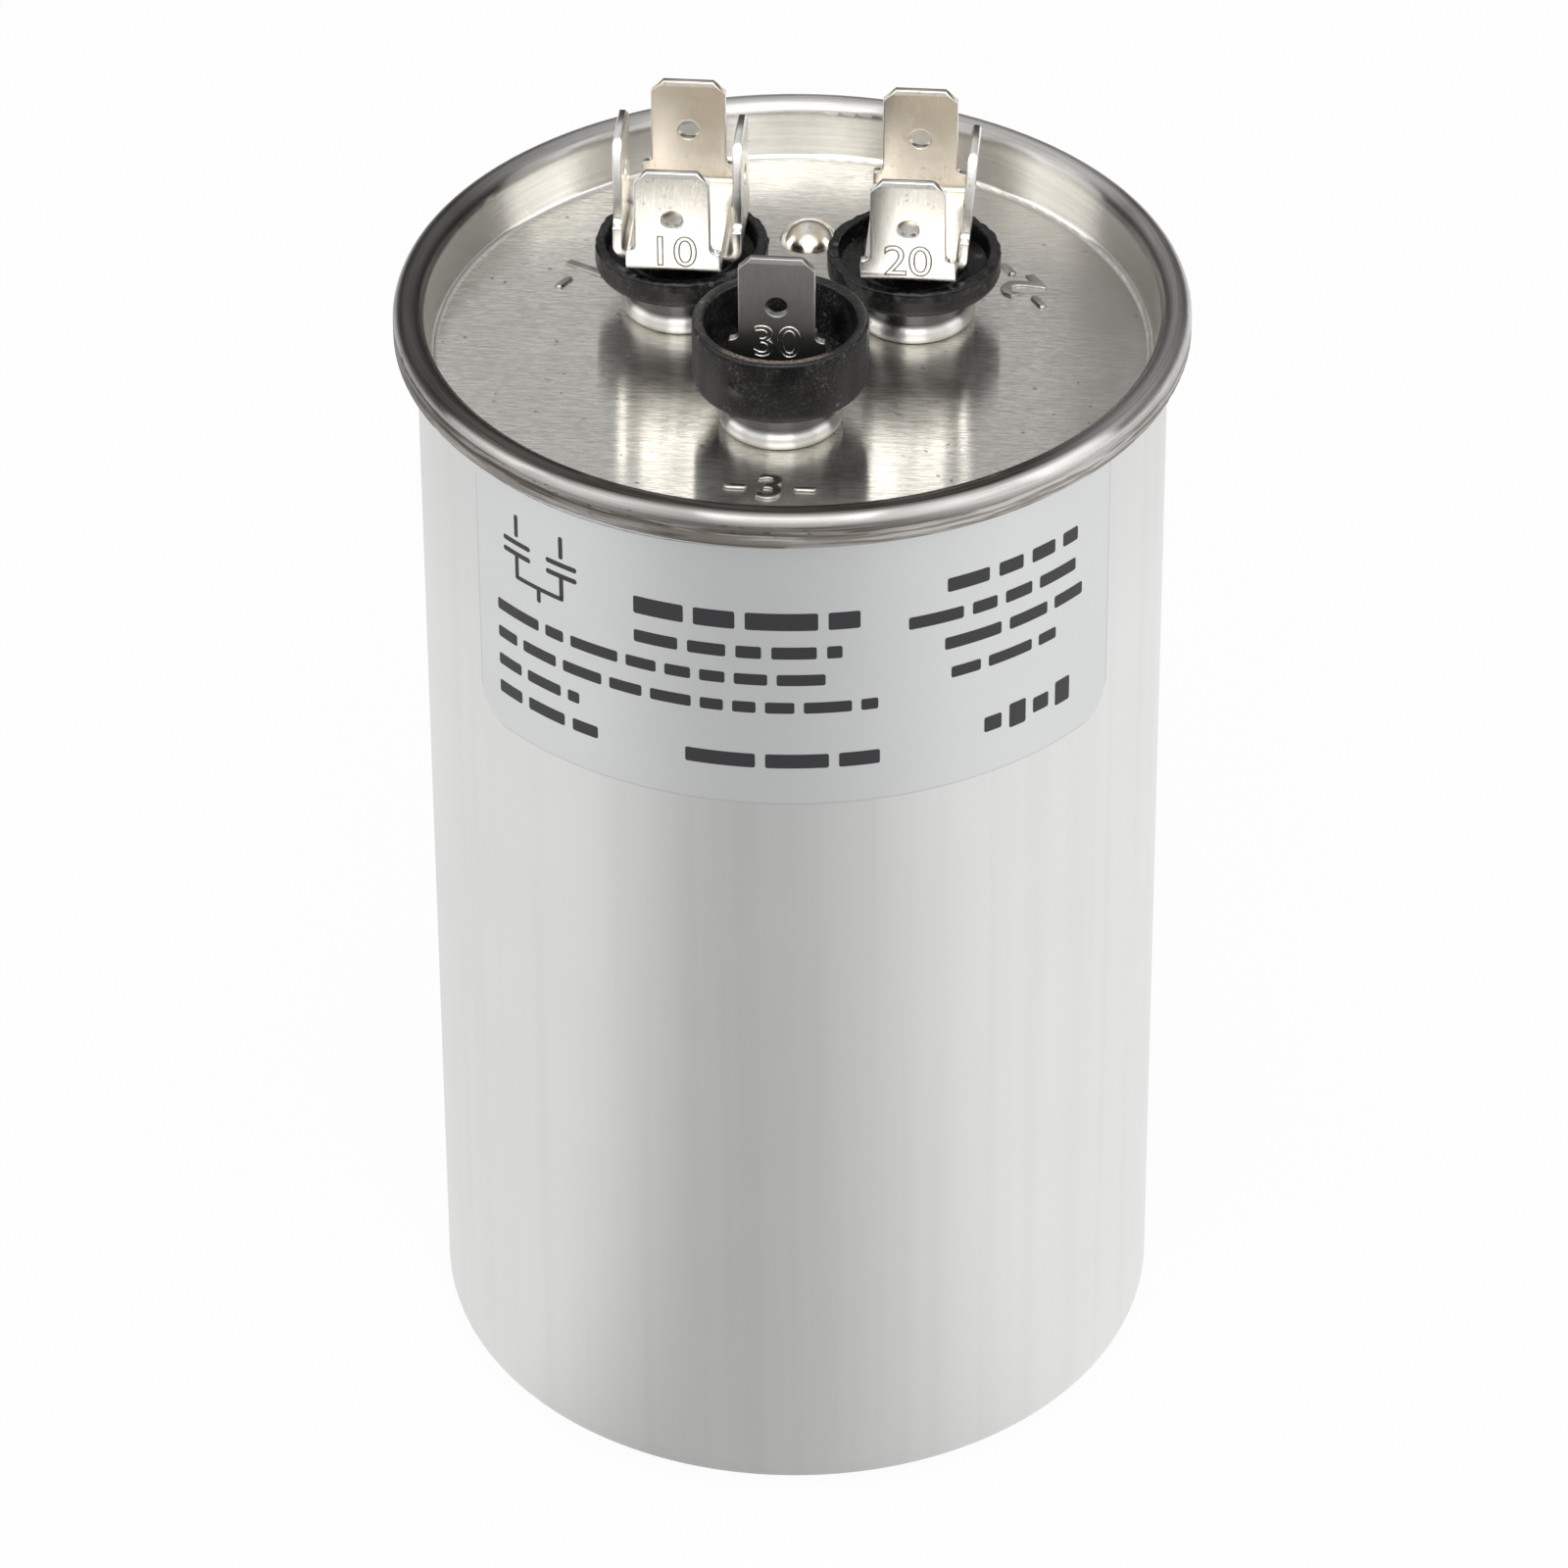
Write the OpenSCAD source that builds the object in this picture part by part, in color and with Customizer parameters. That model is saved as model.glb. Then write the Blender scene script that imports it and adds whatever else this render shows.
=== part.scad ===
// Round dual-run motor capacitor: a drawn aluminium can closed by a seamed steel lid,
// with three terminals that carry push-on tabs. Two film windings share one core inside.
// Millimetres, +Z up, origin at the middle of the can's underside.
// The fan terminal stands towards -Y, the common one at the left rear, the compressor one at the right rear.

/* [Can] */
// Outside diameter of the can's straight wall
can_d = 63.5; // [56:0.5:76]
// Height of the can from its underside to the top of the seam
can_h = 104.9; // [80:0.1:150]
// Thickness of the can's wall
can_wall = 0.35; // [0.25:0.05:0.45]
// Thickness of the can's base
can_base = 0.8; // [0.5:0.1:1.5]
// Radius of the can's lower edge
can_edge_r = 3; // [1.5:0.1:4]

/* [Seam] */
// Height of the rolled seam
seam_h = 3.4; // [3:0.1:4.5]
// How far the seam stands out from the can's wall
seam_reach = 1.9; // [1.7:0.05:2.6]
// How far the can's wall narrows inside the seam, up to its flange
neck_in = 0.1; // [0.05:0.01:0.15]

/* [Lid] */
// Thickness of the lid's sheet
lid_sheet = 0.3; // [0.2:0.05:0.35]
// Depth of the lid's panel below the top of the seam
lid_depth = 5.15; // [4.5:0.05:8]
// How far the lid's wall leans in from the seam to the panel
lid_draft = 0.55; // [0.2:0.05:1]
// Radius between the lid's wall and its panel
lid_fillet_r = 0.6; // [0.3:0.1:1.2]
// Distance of the fill plug from the can's axis
plug_place = 17.2; // [16.5:0.1:22]
// Diameter of the fill plug's dome
plug_d = 5.1; // [4:0.1:6]
// Height of the fill plug's dome
plug_h = 1.6; // [1:0.1:2.2]

/* [Bosses] */
// Radius of the circle through the three terminals
terminal_circle_r = 11.4; // [10.8:0.1:14]
// Height of the bosses above the lid's panel
boss_h = 4.05; // [3.6:0.05:6]
// Diameter of a boss's neck
boss_d = 9; // [8.6:0.1:11]
// Thickness of a boss's wall and top
boss_wall = 0.55; // [0.4:0.05:0.8]
// How far the bead round the boss's foot stands out from its neck
boss_flare = 0.75; // [0.2:0.05:0.8]
// Radius of the bead round the boss's foot
boss_foot_r = 0.95; // [0.85:0.05:1.3]

/* [Bushings] */
// Outside diameter of the insulating cups
cup_d = 14.7; // [14:0.1:16.5]
// Thickness of a cup's wall and floor
cup_wall = 1; // [0.8:0.05:1.3]
// Height of the seat for the tabs above the cup's underside
seat_h = 2.7; // [2.4:0.1:5]
// Diameter of the seat for the tabs
seat_d = 8.8; // [8:0.1:10]
// How far the rims of the two rear cups lie below the seat
rear_rim_drop = 0.1; // [0:0.1:0.8]
// How far the rim of the fan cup stands above the seat
fan_rim_rise = 3.3; // [1:0.1:4]
// Radius on the edges of a cup's rim
cup_edge_r = 0.3; // [0.1:0.05:0.4]
// Radius on a cup's lower edge
cup_foot_r = 0.8; // [0.3:0.05:0.8]
// Diameter of the spigot that passes through the lid
spigot_d = 5.6; // [5:0.1:6]
// Thickness of the insulating washer under the boss's top
washer_h = 2.6; // [2:0.1:3]

/* [Rivets] */
// Diameter of the rivets' shanks
rivet_d = 2.6; // [2:0.1:3]
// Diameter of the rivets' heads
rivet_head_d = 3.9; // [3.6:0.1:4.6]
// Height of the rivets' heads
rivet_head_h = 0.9; // [0.5:0.1:1.2]
// Diameter of the rivets' lower flanges
rivet_foot_d = 5.2; // [4.5:0.1:6]
// Thickness of the rivets' lower flanges
rivet_foot_h = 0.7; // [0.4:0.1:1]

/* [Tabs] */
// Width of a push-on blade
tab_w = 6.35; // [4.75:0.05:6.35]
// Thickness of the tab sheet
tab_t = 0.8; // [0.5:0.05:0.8]
// Length of a blade from its shoulders to its tip
blade_len = 7.9; // [6.5:0.1:9]
// Width of the foot below the shoulders
foot_w = 8; // [7.5:0.1:8.4]
// Height of the shoulders above the seat
shoulder_h = 3.2; // [3:0.1:4]
// Inside radius of the bends
bend_r = 0.6; // [0.5:0.1:1]
// Step all round where the sheet leaves a bend
bend_step = 0.005; // [0.004:0.001:0.01]
// Fillet between a shoulder and the blade
shoulder_r = 0.6; // [0.3:0.05:0.7]
// Chamfer on the tip's corners
tip_chamfer = 1.05; // [0.6:0.05:1.4]
// Height of the bevel along the tip
bevel_h = 0.7; // [0.3:0.05:0.9]
// Depth of the bevel into each face of the tip
bevel_d = 0.22; // [0.05:0.01:0.24]
// Diameter of the detent hole
detent_d = 1.8; // [1.4:0.1:2.2]
// Distance of the detent hole from the tip
detent_from_tip = 4.6; // [3.6:0.1:4.8]
// Distance between the tips of a front and rear pair
long_span = 14.8; // [13.6:0.1:16]
// Outward lean of a front and rear pair
long_lean = 2; // [0:0.5:4]
// Distance between the tips of the common terminal's side pair
cross_span = 10.1; // [9.9:0.1:11]
// Distance of the compressor's side tab from its rivet, at the tip
side_reach = 5.1; // [5.1:0.1:6]
// Outward lean of the compressor's side tab
side_lean = 4.4; // [0:0.1:4.5]
// Width of the plates under the rivets' heads
plate_w = 5.8; // [5:0.1:5.8]
// Length of plate behind the rivet on a single tab
tab_tail = 2.7; // [2.6:0.1:3.6]

/* [Label] */
// Width of the label round the can
label_w = 62; // [40:1:80]
// Height of the label
label_h = 24.8; // [15:0.1:40]
// Thickness of the label's film
label_t = 0.06; // [0.05:0.01:0.08]
// Gap between the seam and the label's top edge
label_gap = 1.8; // [0.5:0.1:10]
// Radius of the label's corners
label_corner_r = 3.5; // [1:0.5:5]
// Turn of the label's middle from the fan terminal
label_turn = 5; // [-30:1:30]

/* [Winding] */
// Free height between the lid's panel and the top of the windings
head_room = 14; // [12:0.5:30]
// Bore of the core tube
core_bore_d = 9; // [7:0.5:12]
// Wall of the core tube
core_wall = 0.9; // [0.6:0.1:1.5]
// Radial thickness of the fan winding
fan_build = 4.8; // [3.5:0.1:8]
// Wall of the sleeve between the two windings
sleeve_wall = 0.5; // [0.3:0.1:1]
// Wall of the paper wrapped round the windings
wrap_wall = 0.6; // [0.3:0.1:1]
// Height of the wrap above the windings' top contacts
wrap_rise = 2; // [1.5:0.5:4]
// Thickness of the sprayed metal contacts
contact_t = 0.8; // [0.5:0.1:1.2]
// Thickness of the insulating pad and disc
pad_t = 1; // [0.6:0.1:1.6]
// Height of the pad's rim
pad_rim_h = 6; // [3:0.5:12]
// Width of the lead strips
lead_w = 3; // [2:0.1:4]
// Thickness of the lead strips
lead_t = 0.5; // [0.3:0.05:0.6]

/* [Fits] */
// Gap between pieces that nest in each other
nest = 0.05; // [0.02:0.01:0.08]
// Gap between a rivet and the holes that it passes through
rivet_clear = 0.1; // [0.05:0.01:0.15]

/* [Hidden] */
$fn = 96;
ROOM = 1;
COMMON_ANGLE = 150;
COMPRESSOR_ANGLE = 30;
FAN_ANGLE = 270;
TERMINAL_ANGLES = [COMMON_ANGLE, COMPRESSOR_ANGLE, FAN_ANGLE];

// Radii of the can and of the layers of the seam
can_r = can_d / 2;
can_bore_r = can_r - can_wall;
can_inner_edge_r = can_edge_r - can_wall;
seam_r = can_r + seam_reach;
seam_gap = (seam_reach - 2 * lid_sheet - can_wall) / 3;
cover_hook_r = can_r + seam_gap;
body_hook_r = cover_hook_r + lid_sheet + seam_gap;
lid_wall_r = can_bore_r - nest;
roll_in_r = (seam_r - lid_sheet - lid_wall_r) / 2;
roll_mid_r = lid_wall_r + roll_in_r;
roll_z = can_h - roll_in_r - lid_sheet;
flange_in_r = (body_hook_r - can_r) / 2;
flange_mid_r = can_r + flange_in_r;
flange_z = roll_z + nest;
curl_in_r = (seam_r - cover_hook_r - 2 * lid_sheet) / 2;
curl_mid_r = cover_hook_r + lid_sheet + curl_in_r;
seam_z = can_h - seam_h;
curl_z = seam_z + curl_in_r + lid_sheet;
neck_z = seam_z - 2 * nest;

// Lid panel and bosses
panel_z = can_h - lid_depth;
panel_under_z = panel_z - lid_sheet;
panel_r = lid_wall_r - lid_sheet - lid_draft;
draft_angle = atan(lid_draft / (roll_z - panel_z));
boss_top_z = panel_z + boss_h;
boss_bore_r = boss_d / 2 - boss_wall;
plug_shank_r = plug_d * 0.3;
plug_cap_r = (pow(plug_d / 2, 2) + pow(plug_h, 2)) / (2 * plug_h);

// Bushings, washers and rivets
cup_r = cup_d / 2;
seat_z = boss_top_z + seat_h;
spigot_len = boss_wall + washer_h / 3;
rivet_hole_r = rivet_d / 2 + rivet_clear;
washer_z = boss_top_z - boss_wall - washer_h;
rivet_foot_z = washer_z - rivet_foot_h;

// Tabs
bend_out_r = bend_r + tab_t;
bend_set = 10 * bend_step;
blade_t = tab_t - 2 * bend_step;
low_foot_h = shoulder_h - bend_out_r;
high_foot_h = low_foot_h - tab_t;
fan_reach = rivet_head_d / 2 + rivet_clear + bend_r + tab_t / 2;

// Windings, from the can's axis outwards
pad_r = can_bore_r - can_inner_edge_r - nest;
pad_rim_in_r = pad_r - pad_t;
wrap_r = pad_rim_in_r - nest;
winding_r = wrap_r - wrap_wall - nest;
core_r = core_bore_d / 2 + core_wall;
fan_winding_in_r = core_r + nest;
fan_winding_r = fan_winding_in_r + fan_build;
sleeve_in_r = fan_winding_r + nest;
sleeve_r = sleeve_in_r + sleeve_wall;
compressor_winding_in_r = sleeve_r + nest;

// Windings, from the can's base upwards
pad_top_z = can_base + pad_t;
winding_z = pad_top_z + contact_t;
winding_top_z = panel_z - head_room;
contact_top_z = winding_top_z + contact_t;
wrap_top_z = contact_top_z + wrap_rise;
disc_top_z = wrap_top_z + pad_t;
disc_r = can_bore_r - 10 * nest;
lead_cross_z = (disc_top_z + panel_under_z) / 2;
fan_land_r = (fan_winding_in_r + fan_winding_r) / 2;
compressor_land_r = (compressor_winding_in_r + winding_r) / 2;
lead_hole_r = lead_w / 2 + ROOM / 2;

// Label
label_in_r = can_r + nest / 5;
label_top_z = seam_z - label_gap;
label_half_angle = label_w / can_r * 90 / PI;
label_angle = FAN_ANGLE + label_turn;

// Moves a piece to one of the terminals, without turning it
module at_terminal(angle, z) {
    translate([terminal_circle_r * cos(angle), terminal_circle_r * sin(angle), z]) children();
}

// Half of a ring, above or below its middle
module half_ring(in_r, out_r, above) {
    intersection() {
        difference() {
            circle(out_r);
            circle(in_r);
        }
        translate([-out_r, above ? 0 : -out_r]) square([2 * out_r, out_r]);
    }
}

// Half section of a disc with a rounded lower edge
module round_edged_half(r, h, edge_r) {
    translate([0, edge_r]) square([r, h - edge_r]);
    square([r - edge_r, h]);
    translate([r - edge_r, edge_r]) intersection() {
        circle(edge_r);
        translate([0, -edge_r]) square(edge_r);
    }
}

// Tube standing at a height, by its two radii
module tube(in_r, out_r, z, h) {
    translate([0, 0, z]) difference() {
        cylinder(r = out_r, h = h);
        translate([0, 0, -ROOM]) cylinder(r = in_r, h = h + 2 * ROOM);
    }
}

// Drawn can, with its flange hooked down inside the seam
module can() {
    color("gainsboro") rotate_extrude() {
        difference() {
            union() {
                round_edged_half(can_r, neck_z, can_edge_r);
                polygon([[0, neck_z], [can_r, neck_z], [can_r - neck_in, flange_z], [0, flange_z]]);
            }
            translate([0, can_base]) round_edged_half(can_bore_r, can_h, can_inner_edge_r);
        }
        translate([flange_mid_r, flange_z]) half_ring(flange_in_r, flange_in_r + can_wall, true);
        translate([body_hook_r, curl_z]) square([can_wall, flange_z - curl_z]);
    }
}

// Half section of the lid: panel, drafted wall, roll over the flange, curl and hook
module lid_section() {
    translate([0, panel_under_z]) square([panel_r, lid_sheet]);
    polygon([
        [panel_r, panel_z],
        [lid_wall_r - lid_sheet, roll_z],
        [lid_wall_r, roll_z],
        [panel_r + lid_sheet, panel_z],
        [panel_r, panel_under_z]
    ]);
    lid_fillet();
    translate([roll_mid_r, roll_z]) half_ring(roll_in_r, roll_in_r + lid_sheet, true);
    translate([seam_r - lid_sheet, curl_z]) square([lid_sheet, roll_z - curl_z]);
    translate([curl_mid_r, curl_z]) half_ring(curl_in_r, curl_in_r + lid_sheet, false);
    translate([cover_hook_r, curl_z]) square([lid_sheet, flange_z - curl_z]);
}

// Fillet that touches the panel and the drafted wall
module lid_fillet() {
    middle_r = panel_r + lid_fillet_r * (tan(draft_angle) - 1 / cos(draft_angle));
    difference() {
        polygon([
            [middle_r, panel_z],
            [panel_r, panel_z],
            [middle_r + lid_fillet_r * cos(draft_angle), panel_z + lid_fillet_r * (1 - sin(draft_angle))]
        ]);
        translate([middle_r, panel_z + lid_fillet_r]) circle(lid_fillet_r);
    }
}

// Half section of a boss, solid: a neck that stands in a round bead
module boss_section() {
    neck_r = boss_d / 2;
    bead_mid_r = neck_r + boss_flare - boss_foot_r;
    translate([0, -lid_sheet]) square([neck_r, boss_h + lid_sheet]);
    translate([bead_mid_r, boss_foot_r]) circle(boss_foot_r);
}

// Seamed lid with its three bosses and the hole for the fill plug
module lid() {
    color("silver") difference() {
        union() {
            rotate_extrude() lid_section();
            for (angle = TERMINAL_ANGLES) at_terminal(angle, panel_z) rotate_extrude() boss_section();
        }
        for (angle = TERMINAL_ANGLES) at_terminal(angle, panel_under_z) {
            translate([0, 0, -ROOM]) cylinder(r = boss_bore_r, h = boss_h + lid_sheet - boss_wall + ROOM);
            cylinder(d = spigot_d + 2 * nest, h = boss_h + lid_sheet + ROOM);
        }
        translate([0, plug_place, panel_under_z - ROOM]) {
            cylinder(r = plug_shank_r + nest, h = lid_sheet + 2 * ROOM);
        }
    }
}

// Sealing compound squeezed between the can's hook and the seam's outer wall
module seam_compound() {
    in_r = body_hook_r + can_wall + nest;
    color("dimgray") tube(in_r, seam_r - lid_sheet - nest, curl_z, flange_z - curl_z);
}

// Domed plug that closes the fill hole, spread under the panel
module fill_plug() {
    color("silver") translate([0, plug_place, panel_z]) rotate_extrude() {
        intersection() {
            translate([0, plug_h - plug_cap_r]) circle(plug_cap_r);
            square([plug_d, plug_h + ROOM]);
        }
        translate([0, -3 * lid_sheet]) square([plug_shank_r, 3 * lid_sheet]);
        translate([0, -3 * lid_sheet]) square([plug_d / 2 - nest, 2 * lid_sheet]);
    }
}

// Printed film round the front of the can
module label() {
    color("lightsteelblue") rotate(label_angle) difference() {
        rotate(-label_half_angle) rotate_extrude(angle = 2 * label_half_angle) {
            translate([label_in_r, label_top_z - label_h]) square([label_t, label_h]);
        }
        for (side = [-1, 1], top = [0, 1]) {
            rotate(side * label_half_angle) translate([0, 0, label_top_z - (top == 0 ? label_h : 0)]) {
                mirror([0, side > 0 ? 0 : 1, 0]) mirror([0, 0, top]) label_corner();
            }
        }
    }
}

// What is cut away at a label corner, for the corner at +Y and at the foot
module label_corner() {
    translate([can_r - label_corner_r, 0, 0]) rotate([90, 0, 90]) linear_extrude(2 * label_corner_r) difference() {
        translate([-label_corner_r, -ROOM]) square([label_corner_r + ROOM, label_corner_r + ROOM]);
        translate([-label_corner_r, label_corner_r]) circle(label_corner_r);
    }
}

// Half section of an insulating cup with its seat and spigot, by the height of its rim
module bushing(rim_h) {
    wall_in_r = cup_r - cup_wall;
    color("#1c1c1e") rotate_extrude() difference() {
        union() {
            round_edged_half(cup_r, cup_wall, cup_foot_r);
            translate([wall_in_r, cup_foot_r]) square([cup_wall, rim_h - cup_foot_r - cup_edge_r]);
            translate([wall_in_r + cup_edge_r, rim_h - 2 * cup_edge_r]) {
                square([cup_wall - 2 * cup_edge_r, 2 * cup_edge_r]);
            }
            for (r = [wall_in_r + cup_edge_r, cup_r - cup_edge_r]) {
                translate([r, rim_h - cup_edge_r]) circle(cup_edge_r);
            }
            square([seat_d / 2, seat_h]);
            translate([0, -spigot_len]) square([spigot_d / 2, spigot_len + cup_wall]);
        }
        translate([0, -spigot_len - ROOM]) square([rivet_hole_r, spigot_len + seat_h + 2 * ROOM]);
    }
}

// Insulating washer under the lid, stepped over the bushing's spigot
module washer() {
    color("#2a2a2c") translate([0, 0, washer_z]) difference() {
        cylinder(r = boss_bore_r - nest, h = washer_h);
        translate([0, 0, -ROOM]) cylinder(r = rivet_hole_r, h = washer_h + 2 * ROOM);
        translate([0, 0, washer_h + boss_wall - spigot_len - nest]) {
            cylinder(d = spigot_d + 2 * nest, h = spigot_len + ROOM);
        }
    }
}

// Tubular rivet through a terminal, by the thickness of tab sheet that it holds
module rivet(grip) {
    head_z = seat_z + grip;
    head_r = rivet_head_d / 2;
    cap_r = (pow(head_r, 2) + pow(rivet_head_h, 2)) / (2 * rivet_head_h);
    color("silver") rotate_extrude() {
        translate([0, rivet_foot_z]) square([rivet_foot_d / 2, rivet_foot_h]);
        translate([0, rivet_foot_z]) square([rivet_d / 2, head_z - rivet_foot_z]);
        intersection() {
            translate([0, head_z + rivet_head_h - cap_r]) circle(cap_r);
            translate([0, head_z]) square([head_r, rivet_head_h]);
        }
    }
}

// Outline of a tab above its bend: foot, filleted shoulders, blade and chamfered tip
module tab_outline(foot_h) {
    half_foot = foot_w / 2 - bend_step;
    half_blade = tab_w / 2;
    tip = foot_h + blade_len;
    step = half_foot - half_blade;
    fillet = min(shoulder_r, step);
    difference() {
        union() {
            translate([-half_foot, -bend_set]) square([2 * half_foot, foot_h + bend_set]);
            polygon([
                [-half_blade, 0],
                [half_blade, 0],
                [half_blade, tip - tip_chamfer],
                [half_blade - tip_chamfer, tip],
                [tip_chamfer - half_blade, tip],
                [-half_blade, tip - tip_chamfer]
            ]);
            for (side = [0, 1]) mirror([side, 0]) translate([half_blade, foot_h]) difference() {
                square(fillet);
                translate([fillet, fillet]) circle(fillet);
            }
        }
        translate([0, tip - detent_from_tip]) circle(d = detent_d);
    }
}

// Bevels on both faces along the tip and its two chamfers
module tip_bevels(tip) {
    slope = atan(bevel_d / bevel_h);
    reach = tab_w;
    chamfer_turn = 45;
    chamfer_place = (tab_w - tip_chamfer) * sin(chamfer_turn);
    translate([0, 0, tip - tab_w / 2]) {
        for (turn = [-chamfer_turn, 0, chamfer_turn], face = [0, 1]) {
            edge = turn == 0 ? tab_w / 2 : chamfer_place;
            rotate([0, turn, 0]) mirror([0, face, 0]) translate([-reach, tab_t / 2, edge - bevel_h]) {
                rotate([slope, 0, 0]) cube([2 * reach, reach, reach]);
            }
        }
    }
}

// How far the plate runs before its bend, for a blade that is so far out at its tip
function plate_reach(tip_reach, lean, foot_h) =
    tip_reach - (bend_r + tab_t / 2) * cos(lean) - (foot_h + blade_len) * sin(lean);

// One leg of a bracket towards +Y: the plate's edge, the bend, the foot and the blade
module leg(tip_reach, lean, foot_h) {
    translate([0, plate_reach(tip_reach, lean, foot_h), bend_out_r]) {
        translate([-foot_w / 2, -tab_t, -bend_out_r]) cube([foot_w, tab_t, tab_t]);
        rotate([0, 90, 0]) rotate_extrude(angle = 90 - lean) {
            translate([bend_r, -foot_w / 2]) square([tab_t, foot_w]);
        }
        rotate([-lean, 0, 0]) translate([0, bend_r + tab_t / 2, 0]) difference() {
            translate([0, blade_t / 2, 0]) rotate([90, 0, 0]) linear_extrude(blade_t) tab_outline(foot_h);
            tip_bevels(foot_h + blade_len);
        }
    }
}

// Plate of a bracket from one place along Y to another
module plate(from, to) {
    translate([-plate_w / 2, from, 0]) cube([plate_w, to - from, tab_t]);
}

// Hole for the rivet through a bracket's plate
module rivet_hole() {
    translate([0, 0, -ROOM]) cylinder(r = rivet_hole_r, h = tab_t + 2 * ROOM);
}

// Folded pair of tabs that face each other along Y
module tab_pair(span, lean, foot_h) {
    half = plate_reach(span / 2, lean, foot_h);
    color("#d8d2c4") difference() {
        union() {
            plate(-half, half);
            for (turn = [0, 180]) rotate(turn) leg(span / 2, lean, foot_h);
        }
        rivet_hole();
    }
}

// Single folded tab, towards +Y
module single_tab(tip_reach, lean, foot_h) {
    color("#d8d2c4") difference() {
        union() {
            plate(-tab_tail, plate_reach(tip_reach, lean, foot_h));
            leg(tip_reach, lean, foot_h);
        }
        rivet_hole();
    }
}

module common_bushing() at_terminal(COMMON_ANGLE, boss_top_z) bushing(seat_h - rear_rim_drop);
module compressor_bushing() at_terminal(COMPRESSOR_ANGLE, boss_top_z) bushing(seat_h - rear_rim_drop);
module fan_bushing() at_terminal(FAN_ANGLE, boss_top_z) bushing(seat_h + fan_rim_rise);

module common_washer() at_terminal(COMMON_ANGLE, 0) washer();
module compressor_washer() at_terminal(COMPRESSOR_ANGLE, 0) washer();
module fan_washer() at_terminal(FAN_ANGLE, 0) washer();

module common_rivet() at_terminal(COMMON_ANGLE, 0) rivet(2 * tab_t);
module compressor_rivet() at_terminal(COMPRESSOR_ANGLE, 0) rivet(2 * tab_t);
module fan_rivet() at_terminal(FAN_ANGLE, 0) rivet(tab_t);

module common_cross_tabs() at_terminal(COMMON_ANGLE, seat_z) rotate(90) tab_pair(cross_span, 0, low_foot_h);
module common_long_tabs() {
    at_terminal(COMMON_ANGLE, seat_z + tab_t) tab_pair(long_span, long_lean, high_foot_h);
}
module compressor_side_tab() {
    at_terminal(COMPRESSOR_ANGLE, seat_z) rotate(-90) single_tab(side_reach, side_lean, low_foot_h);
}
module compressor_long_tabs() {
    at_terminal(COMPRESSOR_ANGLE, seat_z + tab_t) tab_pair(long_span, long_lean, high_foot_h);
}
module fan_tab() at_terminal(FAN_ANGLE, seat_z) rotate(180) single_tab(fan_reach, 0, low_foot_h);

// Tube that the windings are wound on
module core_tube() {
    color("burlywood") tube(core_bore_d / 2, core_r, winding_z, contact_top_z + wrap_rise / 2 - winding_z);
}

// Film wound for the fan motor, next to the core
module fan_winding() {
    color("whitesmoke") tube(fan_winding_in_r, fan_winding_r, winding_z, winding_top_z - winding_z);
}

// Insulating sleeve that parts the two windings
module section_sleeve() {
    color("burlywood") tube(sleeve_in_r, sleeve_r, winding_z, contact_top_z + wrap_rise / 2 - winding_z);
}

// Film wound for the compressor, outside the sleeve
module compressor_winding() {
    color("whitesmoke") tube(compressor_winding_in_r, winding_r, winding_z, winding_top_z - winding_z);
}

// Paper round the windings, standing on the pad
module winding_wrap() {
    color("tan") tube(winding_r + nest, wrap_r, pad_top_z, wrap_top_z - pad_top_z);
}

// Sprayed metal that joins both windings at the foot
module bottom_contact() {
    color("gray") translate([0, 0, pad_top_z]) cylinder(r = winding_r, h = contact_t);
}

// Sprayed metal on top of the fan winding
module fan_contact() {
    color("gray") tube(fan_winding_in_r, fan_winding_r, winding_top_z, contact_t);
}

// Sprayed metal on top of the compressor winding
module compressor_contact() {
    color("gray") tube(compressor_winding_in_r, winding_r, winding_top_z, contact_t);
}

// Insulating dish between the windings and the can's base
module bottom_pad() {
    color("ivory") translate([0, 0, can_base]) difference() {
        cylinder(r = pad_r, h = pad_t + pad_rim_h);
        translate([0, 0, pad_t]) cylinder(r = pad_rim_in_r, h = pad_rim_h + ROOM);
    }
}

// Insulating disc on the wrap, with holes for the leads
module top_disc() {
    color("ivory") translate([0, 0, wrap_top_z]) difference() {
        cylinder(r = disc_r, h = pad_t);
        for (place = [[0, 0], [compressor_land_r, COMPRESSOR_ANGLE], [fan_land_r, FAN_ANGLE]]) {
            rotate(place[1]) translate([place[0], 0, -ROOM]) cylinder(r = lead_hole_r, h = pad_t + 2 * ROOM);
        }
    }
}

// Folded strip from a rivet's foot, across above the disc and down to a contact
module lead(angle, land_r, land_z) {
    near = min(land_r, terminal_circle_r) - lead_t / 2;
    far = max(land_r, terminal_circle_r) + lead_t / 2;
    color("peru") rotate(angle) translate([0, lead_w / 2, 0]) rotate([90, 0, 0]) linear_extrude(lead_w) {
        translate([terminal_circle_r - lead_t / 2, lead_cross_z]) square([lead_t, rivet_foot_z - lead_cross_z]);
        translate([near, lead_cross_z]) square([far - near, lead_t]);
        translate([land_r - lead_t / 2, land_z]) square([lead_t, lead_cross_z + lead_t - land_z]);
    }
}

module common_lead() lead(COMMON_ANGLE, 0, winding_z);
module compressor_lead() lead(COMPRESSOR_ANGLE, compressor_land_r, contact_top_z);
module fan_lead() lead(FAN_ANGLE, fan_land_r, contact_top_z);

can();
lid();
seam_compound();
fill_plug();
label();
common_bushing();
compressor_bushing();
fan_bushing();
common_washer();
compressor_washer();
fan_washer();
common_rivet();
compressor_rivet();
fan_rivet();
common_cross_tabs();
common_long_tabs();
compressor_side_tab();
compressor_long_tabs();
fan_tab();
core_tube();
fan_winding();
section_sleeve();
compressor_winding();
winding_wrap();
bottom_contact();
fan_contact();
compressor_contact();
bottom_pad();
top_disc();
common_lead();
compressor_lead();
fan_lead();
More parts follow.
